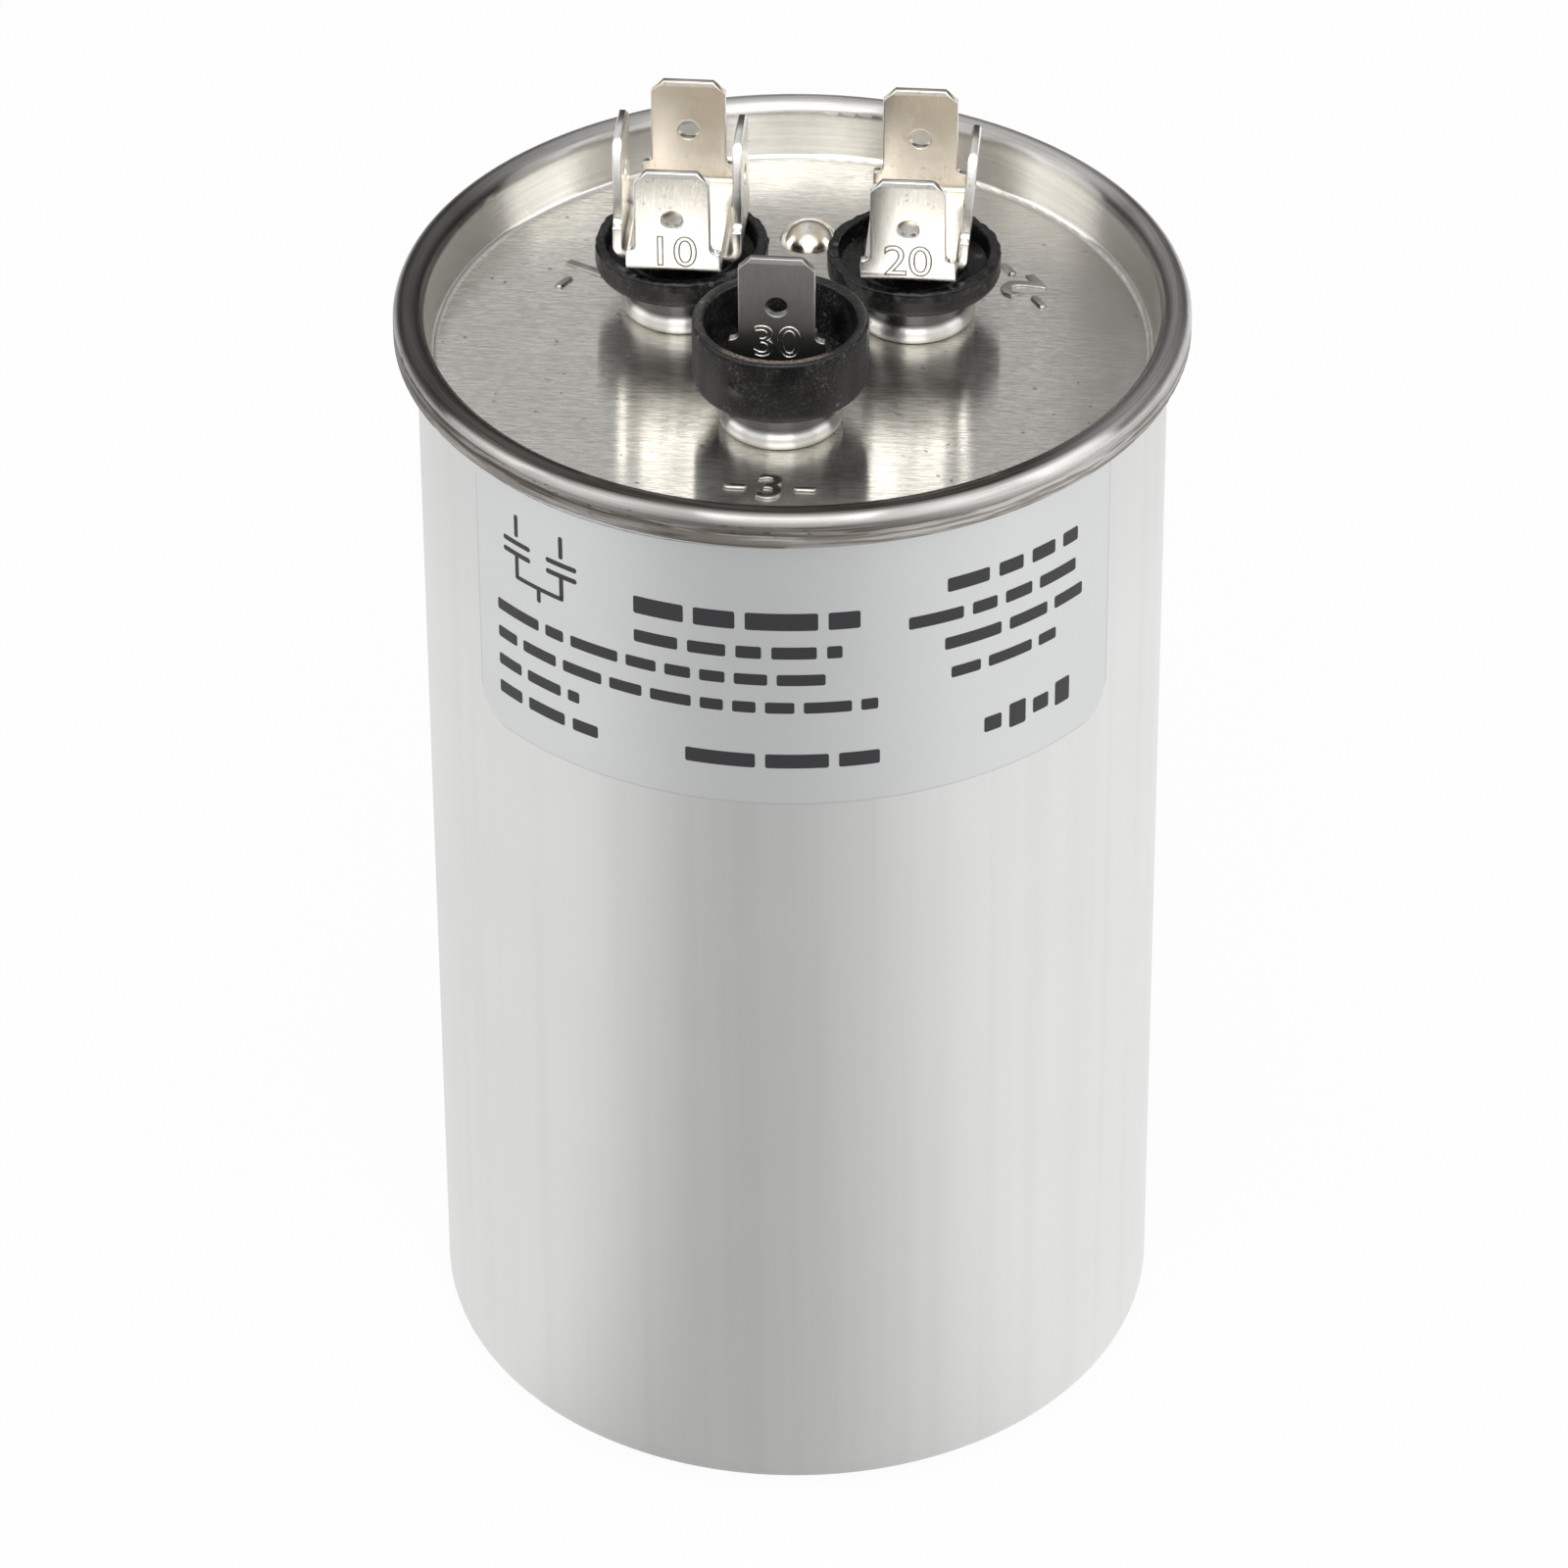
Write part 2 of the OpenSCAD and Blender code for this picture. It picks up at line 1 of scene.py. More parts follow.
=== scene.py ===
"""Looks for a round dual-run motor capacitor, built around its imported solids."""

import math
import random
from collections import namedtuple

import bmesh
import bpy
from mathutils import Matrix, Vector


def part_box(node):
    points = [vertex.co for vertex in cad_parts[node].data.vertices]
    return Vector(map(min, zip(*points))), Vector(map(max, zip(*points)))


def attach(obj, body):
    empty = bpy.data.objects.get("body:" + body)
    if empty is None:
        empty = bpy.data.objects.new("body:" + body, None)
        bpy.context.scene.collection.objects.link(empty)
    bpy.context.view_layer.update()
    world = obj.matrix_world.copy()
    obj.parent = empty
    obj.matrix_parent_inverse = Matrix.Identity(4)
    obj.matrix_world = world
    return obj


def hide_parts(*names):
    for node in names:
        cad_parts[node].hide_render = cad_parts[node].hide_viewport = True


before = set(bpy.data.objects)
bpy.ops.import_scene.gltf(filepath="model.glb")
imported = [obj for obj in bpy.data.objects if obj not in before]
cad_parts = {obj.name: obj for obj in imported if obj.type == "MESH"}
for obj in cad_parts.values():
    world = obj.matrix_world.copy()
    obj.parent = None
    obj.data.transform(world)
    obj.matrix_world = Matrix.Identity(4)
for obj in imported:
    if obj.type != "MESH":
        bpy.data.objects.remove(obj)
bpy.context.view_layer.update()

bl_info = {
    "name": "Run Capacitor Looks",
    "version": (1, 0, 0),
    "blender": (4, 5, 0),
    "location": "3D View > Sidebar > Capacitor",
    "description": "Finishes, label, stamped marks and studio for a round dual-run capacitor",
    "category": "Object",
}

MM = 0.001
BODY = "root"
TERMINALS = ("common", "compressor", "fan")


def settled(thing, **values):
    """Sets several values of a thing at once."""
    for name, value in values.items():
        setattr(thing, name, value)
    return thing


def middle(node):
    """Middle of a node's box, in metres."""
    low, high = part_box(node)
    return (low + high) / 2


# Sizes of the solids that their boxes don't give, in millimetres
PANEL_DEPTH = 5.15
SEAM_HEIGHT = 3.4
BOSS_HEIGHT = 4.05
SEAT_HEIGHT = 2.7
FILM = 0.06
LABEL_ANGLE = math.radians(275)

# Places that the finishes and marks are set out from, in millimetres
LID_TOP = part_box("lid")[1].z / MM
PANEL_Z = LID_TOP - PANEL_DEPTH
SEAM_FOOT = LID_TOP - SEAM_HEIGHT
SEAM_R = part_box("lid")[1].x / MM
LABEL_LOW, LABEL_HIGH = (corner.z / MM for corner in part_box("label"))
LABEL_OUT_R = -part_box("label")[0].y / MM
LABEL_IN_R = LABEL_OUT_R - FILM
CENTRES = {name: middle(f"{name}_bushing").to_2d() / MM for name in TERMINALS}
CUP_FOOT = PANEL_Z + BOSS_HEIGHT
SEAT_Z = CUP_FOOT + SEAT_HEIGHT


# Short calls for node trees


class Net:
    """Adds nodes to a tree and joins them."""

    def __init__(self, tree):
        self.tree = tree

    def feed(self, socket, value):
        """Links or sets a socket; a colour of three values gets full alpha."""
        if isinstance(value, bpy.types.NodeSocket):
            self.tree.links.new(value, socket)
        elif socket.type == "RGBA" and len(value) == 3:
            socket.default_value = (*value, 1.0)
        else:
            socket.default_value = value

    def add(self, kind, inputs=None, **settings):
        node = settled(self.tree.nodes.new(kind), **settings)
        for key, value in (inputs or {}).items():
            self.feed(node.inputs[key], value)
        return node

    def math(self, operation, *values, clamp=False):
        node = self.add("ShaderNodeMath", operation=operation, use_clamp=clamp)
        for socket, value in zip(node.inputs, values):
            self.feed(socket, value)
        return node.outputs[0]

    def chain(self, operation, first, *others):
        for other in others:
            first = self.math(operation, first, other)
        return first

    def times(self, *values):
        return self.chain("MULTIPLY", *values)

    def most(self, *values):
        return self.chain("MAXIMUM", *values)

    def least(self, *values):
        return self.chain("MINIMUM", *values)

    def times_plus(self, value, factor, added):
        return self.math("MULTIPLY_ADD", value, factor, added)

    def plus(self, a, b):
        return self.math("ADD", a, b)

    def minus(self, a, b):
        return self.math("SUBTRACT", a, b)

    def vector(self, operation, *values):
        node = self.add("ShaderNodeVectorMath", operation=operation)
        for socket, value in zip(node.inputs, values):
            self.feed(socket, value)
        single = operation in ("LENGTH", "DISTANCE", "DOT_PRODUCT")
        return node.outputs["Value" if single else "Vector"]

    def scaled(self, vector, factor):
        node = self.add("ShaderNodeVectorMath", {0: vector, "Scale": factor}, operation="SCALE")
        return node.outputs["Vector"]

    def split(self, vector):
        return self.add("ShaderNodeSeparateXYZ", {0: vector}).outputs

    def join(self, x, y, z):
        return self.add("ShaderNodeCombineXYZ", {0: x, 1: y, 2: z}).outputs[0]

    def step(self, value, low, high, to_low=0.0, to_high=1.0):
        """Smooth step of a value from one level to another."""
        inputs = {0: value, 1: low, 2: high, 3: to_low, 4: to_high}
        node = self.add("ShaderNodeMapRange", inputs, interpolation_type="SMOOTHSTEP")
        return node.outputs[0]

    def band(self, value, low, high, soft):
        """One inside a band of values, falling to nothing over a soft edge."""
        rise = self.step(value, low - soft, low)
        fall = self.step(value, high, high + soft, 1.0, 0.0)
        return self.times(rise, fall)

    def region(self, *steps):
        """Product of several smooth steps."""
        return self.times(*(self.step(*limits) for limits in steps))

    def mix(self, factor, a, b):
        return self.add("ShaderNodeMix", {0: factor, 6: a, 7: b}, data_type="RGBA").outputs[2]

    def coats(self, tone, *layers):
        """Colour under layers of other colours, each with its cover."""
        for cover, colour in layers:
            tone = self.mix(cover, tone, colour)
        return tone

    def noise(self, vector, scale, detail=2.0, rough=0.5):
        inputs = {"Vector": vector, "Scale": scale, "Detail": detail, "Roughness": rough}
        return self.add("ShaderNodeTexNoise", inputs).outputs[0]


WHITE = (1.0, 1.0, 1.0)


def toned(colour, share):
    """Colour dimmed or brightened by a share."""
    return [value * share for value in colour]


# Shader groups that several finishes share


def new_group(name, outputs, **values):
    """Empty shader group: a place and named values go in, named outputs come out."""
    group = bpy.data.node_groups.new(name, "ShaderNodeTree")
    group.interface.new_socket("Place", in_out="INPUT", socket_type="NodeSocketVector")
    for label, default in values.items():
        socket = group.interface.new_socket(label, in_out="INPUT", socket_type="NodeSocketFloat")
        socket.default_value = default
    for label, kind in outputs.items():
        group.interface.new_socket(label, in_out="OUTPUT", socket_type=f"NodeSocket{kind}")
    net = Net(group)
    return group, net, net.add("NodeGroupInput").outputs, net.add("NodeGroupOutput").inputs


def rounded_group():
    """Wraps places round the can: arc length, height and radius, all in millimetres."""
    group, net, given, result = new_group("Round the can", {"Wrapped": "Vector", "Radius": "Float"})
    x, y, z = net.split(net.scaled(given["Place"], 1 / MM))
    angle = net.math("ARCTAN2", x, net.times(y, -1.0))
    radius = net.math("SQRT", net.plus(net.math("POWER", x, 2.0), net.math("POWER", y, 2.0)))
    net.feed(result["Wrapped"], net.join(net.times(angle, SEAM_R), z, radius))
    net.feed(result["Radius"], radius)
    return group


def grain_group():
    """Drawn or brushed grain along the first axis, and the few deeper scratches in it."""
    outputs = {"Grain": "Float", "Scratches": "Float"}
    group, net, given, result = new_group("Metal grain", outputs, Length=10.0, Width=0.1)
    along = net.math("DIVIDE", 1.0, given["Length"])
    across = net.math("DIVIDE", 1.0, given["Width"])
    stretched = net.vector("MULTIPLY", given["Place"], net.join(along, across, across))
    net.feed(result["Grain"], net.noise(stretched, 1.0, 3.0, 0.6))
    sparse = net.noise(net.vector("MULTIPLY", stretched, (0.6, 0.5, 0.5)), 1.0, 1.0)
    net.feed(result["Scratches"], net.step(sparse, 0.68, 0.78))
    return group


def specks_group():
    """Small specks of dust or dirt, each in its own cell."""
    group, net, given, result = new_group("Specks", {"Specks": "Float"}, Size=0.5, Cover=0.3)
    inputs = {"Vector": given["Place"], "Scale": 2.2, "Detail": 2.0}
    bent = net.add("ShaderNodeTexNoise", inputs).outputs["Color"]
    place = net.vector("ADD", given["Place"], net.scaled(bent, 0.35))
    inputs = {"Vector": place, "Scale": net.math("DIVIDE", 1.0, given["Size"])}
    cells = net.add("ShaderNodeTexVoronoi", inputs).outputs
    pick = net.split(cells["Color"])
    chosen = net.math("LESS_THAN", pick[0], given["Cover"])
    size = net.times_plus(pick[1], 0.28, 0.1)
    inside = net.step(net.minus(cells["Distance"], size), -0.08, 0.04, 1.0, 0.0)
    net.feed(result["Specks"], net.times(inside, chosen))
    return group


def patches_group():
    """Broad soft patches, as of handling, stain and uneven plating."""
    group, net, given, result = new_group("Soft patches", {"Patches": "Float"}, Size=5.0)
    cloud = net.noise(given["Place"], net.math("DIVIDE", 1.0, given["Size"]), 4.0, 0.55)
    net.feed(result["Patches"], net.step(cloud, 0.35, 0.68))
    return group


groups = {}


class Finish(Net):
    """A material under way: its Principled shader, its places in millimetres and the shared groups."""

    def __init__(self, name, metallic):
        self.material = bpy.data.materials.new(name)
        self.material.use_nodes = True
        super().__init__(self.material.node_tree)
        self.shader = self.tree.nodes["Principled BSDF"]
        self.set("Metallic", metallic)
        self.object = self.add("ShaderNodeTexCoord").outputs["Object"]
        self.place = self.scaled(self.object, 1 / MM)

    def set(self, name, value):
        self.feed(self.shader.inputs[name], value)

    def use(self, maker, place=None, **inputs):
        """Outputs of a shared group, which is made on its first use."""
        if maker not in groups:
            groups[maker] = maker()
        inputs["Place"] = self.place if place is None else place
        return self.add("ShaderNodeGroup", inputs, node_tree=groups[maker]).outputs

    def rounded(self):
        return self.use(rounded_group, self.object)

    def grain(self, place, length, width):
        return self.use(grain_group, place, Length=length, Width=width)

    def patches(self, size, place=None):
        return self.use(patches_group, place, Size=size)["Patches"]

    def specks(self, size, cover, place=None):
        return self.use(specks_group, place, Size=size, Cover=cover)["Specks"]

    def bump(self, height, depth_mm, normal=None):
        inputs = {"Height": height, "Distance": depth_mm * MM, "Strength": 1.0}
        if normal is not None:
            inputs["Normal"] = normal
        return self.add("ShaderNodeBump", inputs).outputs[0]

    def vary(self, value, middle_level, spread):
        """Level that swings about its middle with a value between 0 and 1."""
        return self.times_plus(value, spread, middle_level - spread / 2)

    def rounded_edges(self, radius_mm):
        return self.add("ShaderNodeBevel", {"Radius": radius_mm * MM}, samples=6).outputs[0]

    def done(self, tone, rough, normal=None):
        """The material, with its colour, roughness and surface set."""
        self.set("Base Color", tone)
        self.set("Roughness", rough)
        if normal is not None:
            self.set("Normal", normal)
        return self.material


# Finishes


def can_finish(looks):
    """Drawn satin aluminium with faint upright draw lines, and painted shade on its upper part under the
    seam.
    """
    net = Finish("can_satin", 1.0)
    wrapped = net.rounded()["Wrapped"]
    arc, height, _ = net.split(wrapped)
    upright = net.join(height, arc, 0.0)
    lines = net.grain(upright, length=60.0, width=0.22)["Grain"]
    bands = net.grain(upright, length=240.0, width=3.4)["Grain"]
    cloud = net.patches(size=14.0, place=wrapped)
    dark = toned(looks.wall_colour, 0.955)
    shaded = toned(looks.wall_colour, 0.86)
    # Painted shade under the seam: the upper wall is darker, broken up by the broad upright bands
    painted_top_shade = net.times(net.step(height, 76.0, 101.0), net.vary(bands, 0.7, 0.8))
    tone = net.coats(net.mix(lines, dark, looks.wall_colour), (net.times(cloud, 0.3), dark), (painted_top_shade, shaded),
                     (net.step(bands, 0.45, 0.65, 0.0, 0.25), shaded))
    rough = net.plus(net.vary(lines, looks.wall_roughness, 0.07), net.vary(cloud, 0.0, 0.04))
    return net.done(tone, rough, net.bump(lines, looks.grain_depth / MM))


# Where the lid's forms begin and end, as limits of radius in millimetres
RIM_R = (29.9, 30.6)
LIP_R = (30.9, 31.45)
SEAM_INSIDE_R = (31.6, 31.3)
SEAM_OUTSIDE_R = (32.2, 32.6)
FILM_R = (33.3, 33.6)
BOSS_R = (5.25, 5.4)


def lid_finish(looks):
    """Bright tinplate: brushed across on the panel, rolled round in the seam, polished on the bosses."""
    net = Finish("lid_tinplate", 1.0)
    across, along, height = net.split(net.place)
    aside = net.math("ABSOLUTE", across)
    flat = net.join(across, along, 0.0)
    radius = net.vector("LENGTH", flat)
    over_seam = net.times_plus(radius, -0.8, height)
    rim = net.step(radius, *RIM_R)
    outside = net.step(radius, *SEAM_OUTSIDE_R)
    reaches = [net.vector("DISTANCE", flat, (*centre, 0.0)) for centre in CENTRES.values()]
    boss = net.most(*(net.step(reach, *BOSS_R, 1.0, 0.0) for reach in reaches))
    boss = net.times(boss, net.step(height, PANEL_Z + 0.03, PANEL_Z + 0.12))
    # The bosses' necks under the cups: painted shadow of the cups, and more roughness
    neck = net.times(boss, net.step(height, PANEL_Z + 1.7, PANEL_Z + 2.0))

    def round_lines(length, width):
        """Lines that run round the seam and close on themselves."""
        place = net.join(across, net.times(along, width / length), over_seam)
        return net.grain(place, length, width)["Grain"]

    brushed = net.grain(net.place, length=4.0, width=0.18)["Grain"]
    dashes = net.grain(net.place, length=0.9, width=0.1)
    rolled = round_lines(length=14.0, width=0.22)
    smears = round_lines(length=22.0, width=0.7)
    smudges = round_lines(length=8.0, width=0.42)
    cloud = net.patches(size=7.0)
    drawn_out = net.vector("MULTIPLY", net.rounded()["Wrapped"], (0.3, 1.0, 1.0))
    grime = net.specks(size=0.26, cover=0.6, place=drawn_out)

    # The panel: short brushed lines, painted shade near its right edge, in its right rear corner and between
    # the rear bosses, and the bosses
    lines = net.times_plus(dashes["Grain"], 0.75, net.times(brushed, 0.35))
    # Painted shade near the panel's right edge, in soft patches
    painted_right_shade = net.times(net.step(across, 21.0, 28.0), net.vary(cloud, 0.78, 0.4))
    # Painted shade in the panel's right rear corner
    corner = net.region((radius, 20.0, 28.5), (across, 3.0, 14.0), (along, -6.0, 8.0, 0.0, 0.75))
    # Painted shade on the panel between and behind the rear bosses
    shaded = net.region((aside, 13.0, 6.0), (along, 4.0, 14.0, 0.0, 0.4))
    tone = net.coats(net.mix(net.step(lines, 0.44, 0.68), looks.panel_stain, looks.panel_colour),
                     (net.step(dashes["Grain"], 0.6, 0.75, 0.0, 0.7), looks.fleck_colour),
                     (net.times(cloud, 0.25), looks.panel_stain),
                     (painted_right_shade, looks.scratch_colour),
                     (corner, looks.scratch_colour),
                     (shaded, looks.scratch_colour),
                     (net.times(dashes["Scratches"], 0.7), looks.scratch_colour),
                     (net.times(net.specks(size=0.6, cover=0.03), 0.5), looks.dirt_colour),
                     (boss, looks.boss_colour),
                     (net.times(neck, 0.85), looks.seam_stain))

    # The seam: a brown-grey film on its top that mostly stands in for painted dark reflection, painted shade
    # over its front and its left side, a dirty lip inside, dirt along its foot
    lined = net.step(rolled, 0.4, 0.6)
    # Painted shade that dims the front of the seam's bright band
    dimmed = net.region((aside, 20.0, 5.0, 0.0, 0.6), (along, -18.0, -28.0))
    clean = net.coats(net.mix(lined, looks.seam_stain, looks.seam_colour), (0.85, looks.seam_colour),
                      (dimmed, looks.seam_stain))
    # Painted dark reflection on the seam's top, laid as a brown-grey film
    film = net.mix(lined, looks.dirt_colour, looks.seam_stain)
    past = net.minus(radius, net.step(across, -4.0, -26.0, *FILM_R))
    top = net.region((past, 0.0, -0.55), (height, LID_TOP - 1.7, LID_TOP - 1.0))
    cover = net.least(net.step(across, 19.0, 31.0, 1.0, 0.42), net.step(across, -27.0, -33.0, 1.0, 0.75),
                      net.step(along, 8.0, 24.0, 1.0, 0.12))
    cover = net.times(cover, net.vary(smears, 1.05, 0.4))
    covered = net.math("MULTIPLY", top, cover, clamp=True)
    lip = net.times(net.band(radius, *LIP_R, 0.2), net.step(height, LID_TOP - 1.0, LID_TOP - 0.5),
                    net.step(along, 8.0, -12.0, 0.3, 0.85))
    # Painted shade: the seam darker on its left side
    painted_left_shade = net.times(net.step(across, -10.0, -27.0, 0.0, 0.45), net.vary(smears, 0.9, 0.5))
    foot = net.times(net.step(height, LID_TOP - 1.3, LID_TOP - 1.7), outside)
    dull = net.mix(net.step(smudges, 0.45, 0.57), looks.foot_stain, looks.seam_colour)
    groove = net.times(net.band(height, LID_TOP - 1.9, LID_TOP - 1.15, 0.25), outside,
                       net.step(across, 2.0, 22.0, 1.0, 0.3))
    hem = net.times(net.step(height, SEAM_FOOT + 0.6, SEAM_FOOT + 0.3), outside)
    sooty = net.times(foot, net.step(across, 16.0, -12.0, 0.25, 0.95), net.step(smudges, 0.45, 0.53))
    patchy = net.most(net.times(grime, 0.7), net.step(smears, 0.42, 0.6))
    dirty = net.times(net.most(net.times_plus(hem, 0.6, groove), sooty), net.vary(patchy, 0.7, 0.5))
    wall = net.region((radius, *SEAM_INSIDE_R), (height, LID_TOP - 0.9, LID_TOP - 1.5))
    rim_tone = net.coats(net.mix(covered, clean, film),
                         (lip, looks.lip_colour),
                         (painted_left_shade, looks.seam_stain),
                         (net.times(foot, 0.85), dull),
                         (net.least(dirty, 0.9), looks.dirt_colour),
                         (wall, net.mix(net.times(lined, 0.3), looks.wall_colour, looks.panel_stain)))

    rough = net.vary(cloud, looks.panel_roughness, 0.05)
    for share, change in ((rim, looks.seam_roughness - looks.panel_roughness),
                          (boss, looks.boss_roughness - looks.panel_roughness),
                          (neck, 0.12), (net.times(net.most(dirty, foot), rim), 0.12)):
        rough = net.times_plus(share, change, rough)
    rough = net.most(rough, 0.05)
    grain = net.times(lines, net.minus(1.0, net.most(rim, boss)))
    grain = net.times_plus(net.times(rolled, rim), 0.4, grain)

    # Reflections are drawn out across the brushing, round the seam and up the bosses
    round_way = net.add("ShaderNodeTangent", direction_type="RADIAL", axis="Z").outputs[0]
    facing = net.add("ShaderNodeNewGeometry").outputs["Normal"]
    way = (0.0, 1.0, 0.0)
    for share, other in ((rim, net.vector("CROSS_PRODUCT", facing, round_way)), (boss, (0.0, 0.0, 1.0))):
        way = net.add("ShaderNodeMix", {0: share, 4: way, 5: other}, data_type="VECTOR").outputs[1]
    net.set("Anisotropic", looks.brush_pull)
    net.set("Tangent", way)
    return net.done(net.mix(rim, tone, rim_tone), rough, net.bump(grain, looks.brush_depth / MM))


def tab_finish(looks, name, roughness, shade=1.0):
    """Tin-plated brass sheet with rolling grain, warm stain and bright worn edges; painted shade darkens the
    rear blades, and the whole sheet when the shade is below one.
    """
    net = Finish(name, 1.0)
    x, y, z = net.split(net.place)
    grain = net.grain(net.join(z, x, y), length=1.6, width=0.12)["Grain"]
    edges = net.rounded_edges(0.09)
    true_normal = net.add("ShaderNodeNewGeometry").outputs["True Normal"]
    worn = net.step(net.vector("DOT_PRODUCT", edges, true_normal), 0.985, 0.9)
    # A shade below one paints shade into the plating and the stain
    stain = toned(looks.stain, shade)
    tone = net.coats(net.mix(net.patches(size=3.0), toned(looks.plating, shade), stain),
                     (net.step(grain, 0.42, 0.66, 0.3, 0.0), toned(stain, 0.75)),
                     # Painted shade and brown on the rear blades
                     (net.step(y, 9.0, 12.0, 0.0, 0.6), looks.rear_stain),
                     (net.times(net.specks(size=0.45, cover=0.2), 0.35), looks.speck),
                     (net.times(worn, 0.6), looks.worn_edge))
    rough = net.times_plus(worn, -0.08, net.vary(grain, roughness, 0.07))
    return net.done(tone, rough, net.bump(grain, looks.grain_depth / MM, edges))


NUB_TURN = math.radians(270 - 24.4)
NUB_Z = CUP_FOOT + 3.0
NUB_SIZE = 0.45


def nub_place(looks):
    """Tip of the moulding nub on the tall cup, in millimetres."""
    reach = (looks.cup_diameter / 2 + looks.nub_rise) / MM
    fan = CENTRES["fan"]
    return Vector((fan.x + reach * math.cos(NUB_TURN), fan.y + reach * math.sin(NUB_TURN), NUB_Z))


def cup_finish(looks, name, worn_rim_z=None):
    """Black moulded thermoset with dust, scuffs and, on the tall cup, a rubbed brown rim and a painted
    highlight on the tip of its moulding nub.
    """
    net = Finish(name, 0.0)
    cloud = net.patches(size=2.6)
    dust = net.specks(size=0.32, cover=0.42)
    flakes = net.specks(size=1.1, cover=0.1)
    skin = net.noise(net.place, 5.0, 4.0, 0.65)
    pits = net.step(net.noise(net.place, 4.5, 3.0, 0.7), 0.5, 0.66)
    amount = net.times(net.most(dust, pits), net.vary(cloud, 0.14, 0.24))
    tone = net.coats(net.mix(cloud, looks.body, looks.bloom), (amount, looks.dust),
                     (net.times(flakes, 0.3), looks.dust))
    if worn_rim_z is not None:
        fan = CENTRES["fan"]
        x, y, z = net.split(net.place)
        reach = net.vector("DISTANCE", net.join(x, y, 0.0), (*fan, 0.0))
        rubbed = net.times(net.step(z, worn_rim_z - 0.4, worn_rim_z - 0.1), net.band(reach, 6.25, 6.95, 0.15),
                           net.step(y, fan.y - 4.6, fan.y - 6.2), net.step(skin, 0.42, 0.56), 0.85)
        nub = net.vector("DISTANCE", net.place, tuple(nub_place(looks)))
        # Painted highlight: the dust colour lightens the tip of the moulding nub
        tone = net.coats(tone, (rubbed, looks.rubbed), (net.step(nub, 0.45, 0.15, 0.0, 0.14), looks.dust))
    net.set("Specular IOR Level", 0.36)
    rough = net.times_plus(amount, 0.5, net.vary(cloud, looks.roughness, 0.16))
    return net.done(tone, rough, net.bump(skin, 0.012))


def label_finish(looks):
    """Silver-grey satin film with a fine embossed grain and a thin shade along its cut edges."""
    net = Finish("label_satin_film", 0.85)
    wrapped = net.rounded()["Wrapped"]
    tooth = net.noise(wrapped, 9.0, 3.0)
    arc, height, _ = net.split(wrapped)
    side = net.math("ABSOLUTE", net.minus(arc, (LABEL_ANGLE - 1.5 * math.pi) * SEAM_R))
    half = looks.width / MM / 2 * SEAM_R / LABEL_OUT_R
    edge = net.most(net.step(side, half - 0.3, half - 0.1),
                    net.step(height, LABEL_LOW + 0.22, LABEL_LOW + 0.08))
    tone = net.coats(looks.film_colour,
                     (net.times(net.patches(size=9.0, place=wrapped), 0.4), toned(looks.film_colour, 0.95)),
                     (net.times(edge, 0.5), toned(looks.film_colour, 0.72)))
    return net.done(tone, net.vary(tooth, looks.film_roughness, 0.06), net.bump(tooth, 0.0015))


def plug_finish(looks):
    """Polished plug, browned where it meets the panel, with painted shade there."""
    net = Finish("plug_polished", 1.0)
    cloud = net.patches(size=1.4)
    height = net.split(net.place)[2]
    # Browned ring at the plug's foot, which also carries painted shade where it meets the panel
    ring = net.times(net.step(height, PANEL_Z + 0.42, PANEL_Z + 0.1), net.vary(cloud, 0.7, 0.5))
    tone = net.coats(looks.stain, (cloud, looks.rear_stain), (ring, looks.speck))
    return net.done(tone, net.times_plus(ring, 0.15, net.vary(cloud, 0.17, 0.1)))


def dull_metal_finish(name, base, rough):
    """Plain plated or sprayed metal with uneven tone."""
    net = Finish(name, 1.0)
    grit = net.noise(net.place, 4.0, 4.0, 0.7)
    tone = net.mix(net.patches(size=1.2), base, toned(base, 0.72))
    return net.done(tone, net.vary(grit, rough, 0.2), net.bump(grit, 0.006))


def uneven_finish(name, metallic, noise, tones, rough, depth=None):
    """Coat of two tones: its noise, the tones, its roughness with a spread, and the depth of its lumps."""
    net = Finish(name, metallic)
    cloud = net.noise(net.place, *noise)
    normal = net.bump(cloud, depth) if depth else None
    return net.done(net.mix(cloud, *tones), net.vary(cloud, *rough), normal)


def wound_film_finish():
    """Metallised film, wound in many thin turns."""
    net = Finish("wound_film", 0.35)
    turns = net.noise(net.join(0.0, 0.0, net.rounded()["Radius"]), 14.0, 3.0, 0.7)
    tone = net.mix(turns, (0.62, 0.65, 0.67), (0.86, 0.88, 0.89))
    return net.done(tone, net.vary(turns, 0.28, 0.14), net.bump(turns, 0.02))


def fibre_finish(name, base, fleck):
    """Paper or pressed board with fibres and flecks."""
    net = Finish(name, 0.0)
    fibre = net.grain(net.rounded()["Wrapped"], length=2.4, width=0.25)["Grain"]
    flecks = net.times(net.specks(size=0.9, cover=0.3), 0.5)
    tone = net.coats(toned(base, 0.82), (fibre, base), (flecks, fleck))
    return net.done(tone, net.vary(fibre, 0.75, 0.2), net.bump(fibre, 0.01))


# Pieces


def dress(node, material):
    """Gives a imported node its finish."""
    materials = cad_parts[node].data.materials
    materials.clear()
    materials.append(material)


def linked(name, data):
    """New object in the scene."""
    made = bpy.data.objects.new(name, data)
    bpy.context.scene.collection.objects.link(made)
    return made


def place_piece(name, mesh, material, replaced=()):
    """Adds a finished mesh as a piece that moves with the part."""
    mesh.materials.clear()
    mesh.materials.append(material)
    piece = linked(name, mesh)
    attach(piece, BODY)
    if replaced:
        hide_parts(*replaced)


SHARP_ANGLE = math.radians(35)


def smooth(mesh):
    """Smooth shading with sharp edges kept."""
    mesh.polygons.foreach_set("use_smooth", [True] * len(mesh.polygons))
    mesh.set_sharp_from_angle(angle=SHARP_ANGLE)


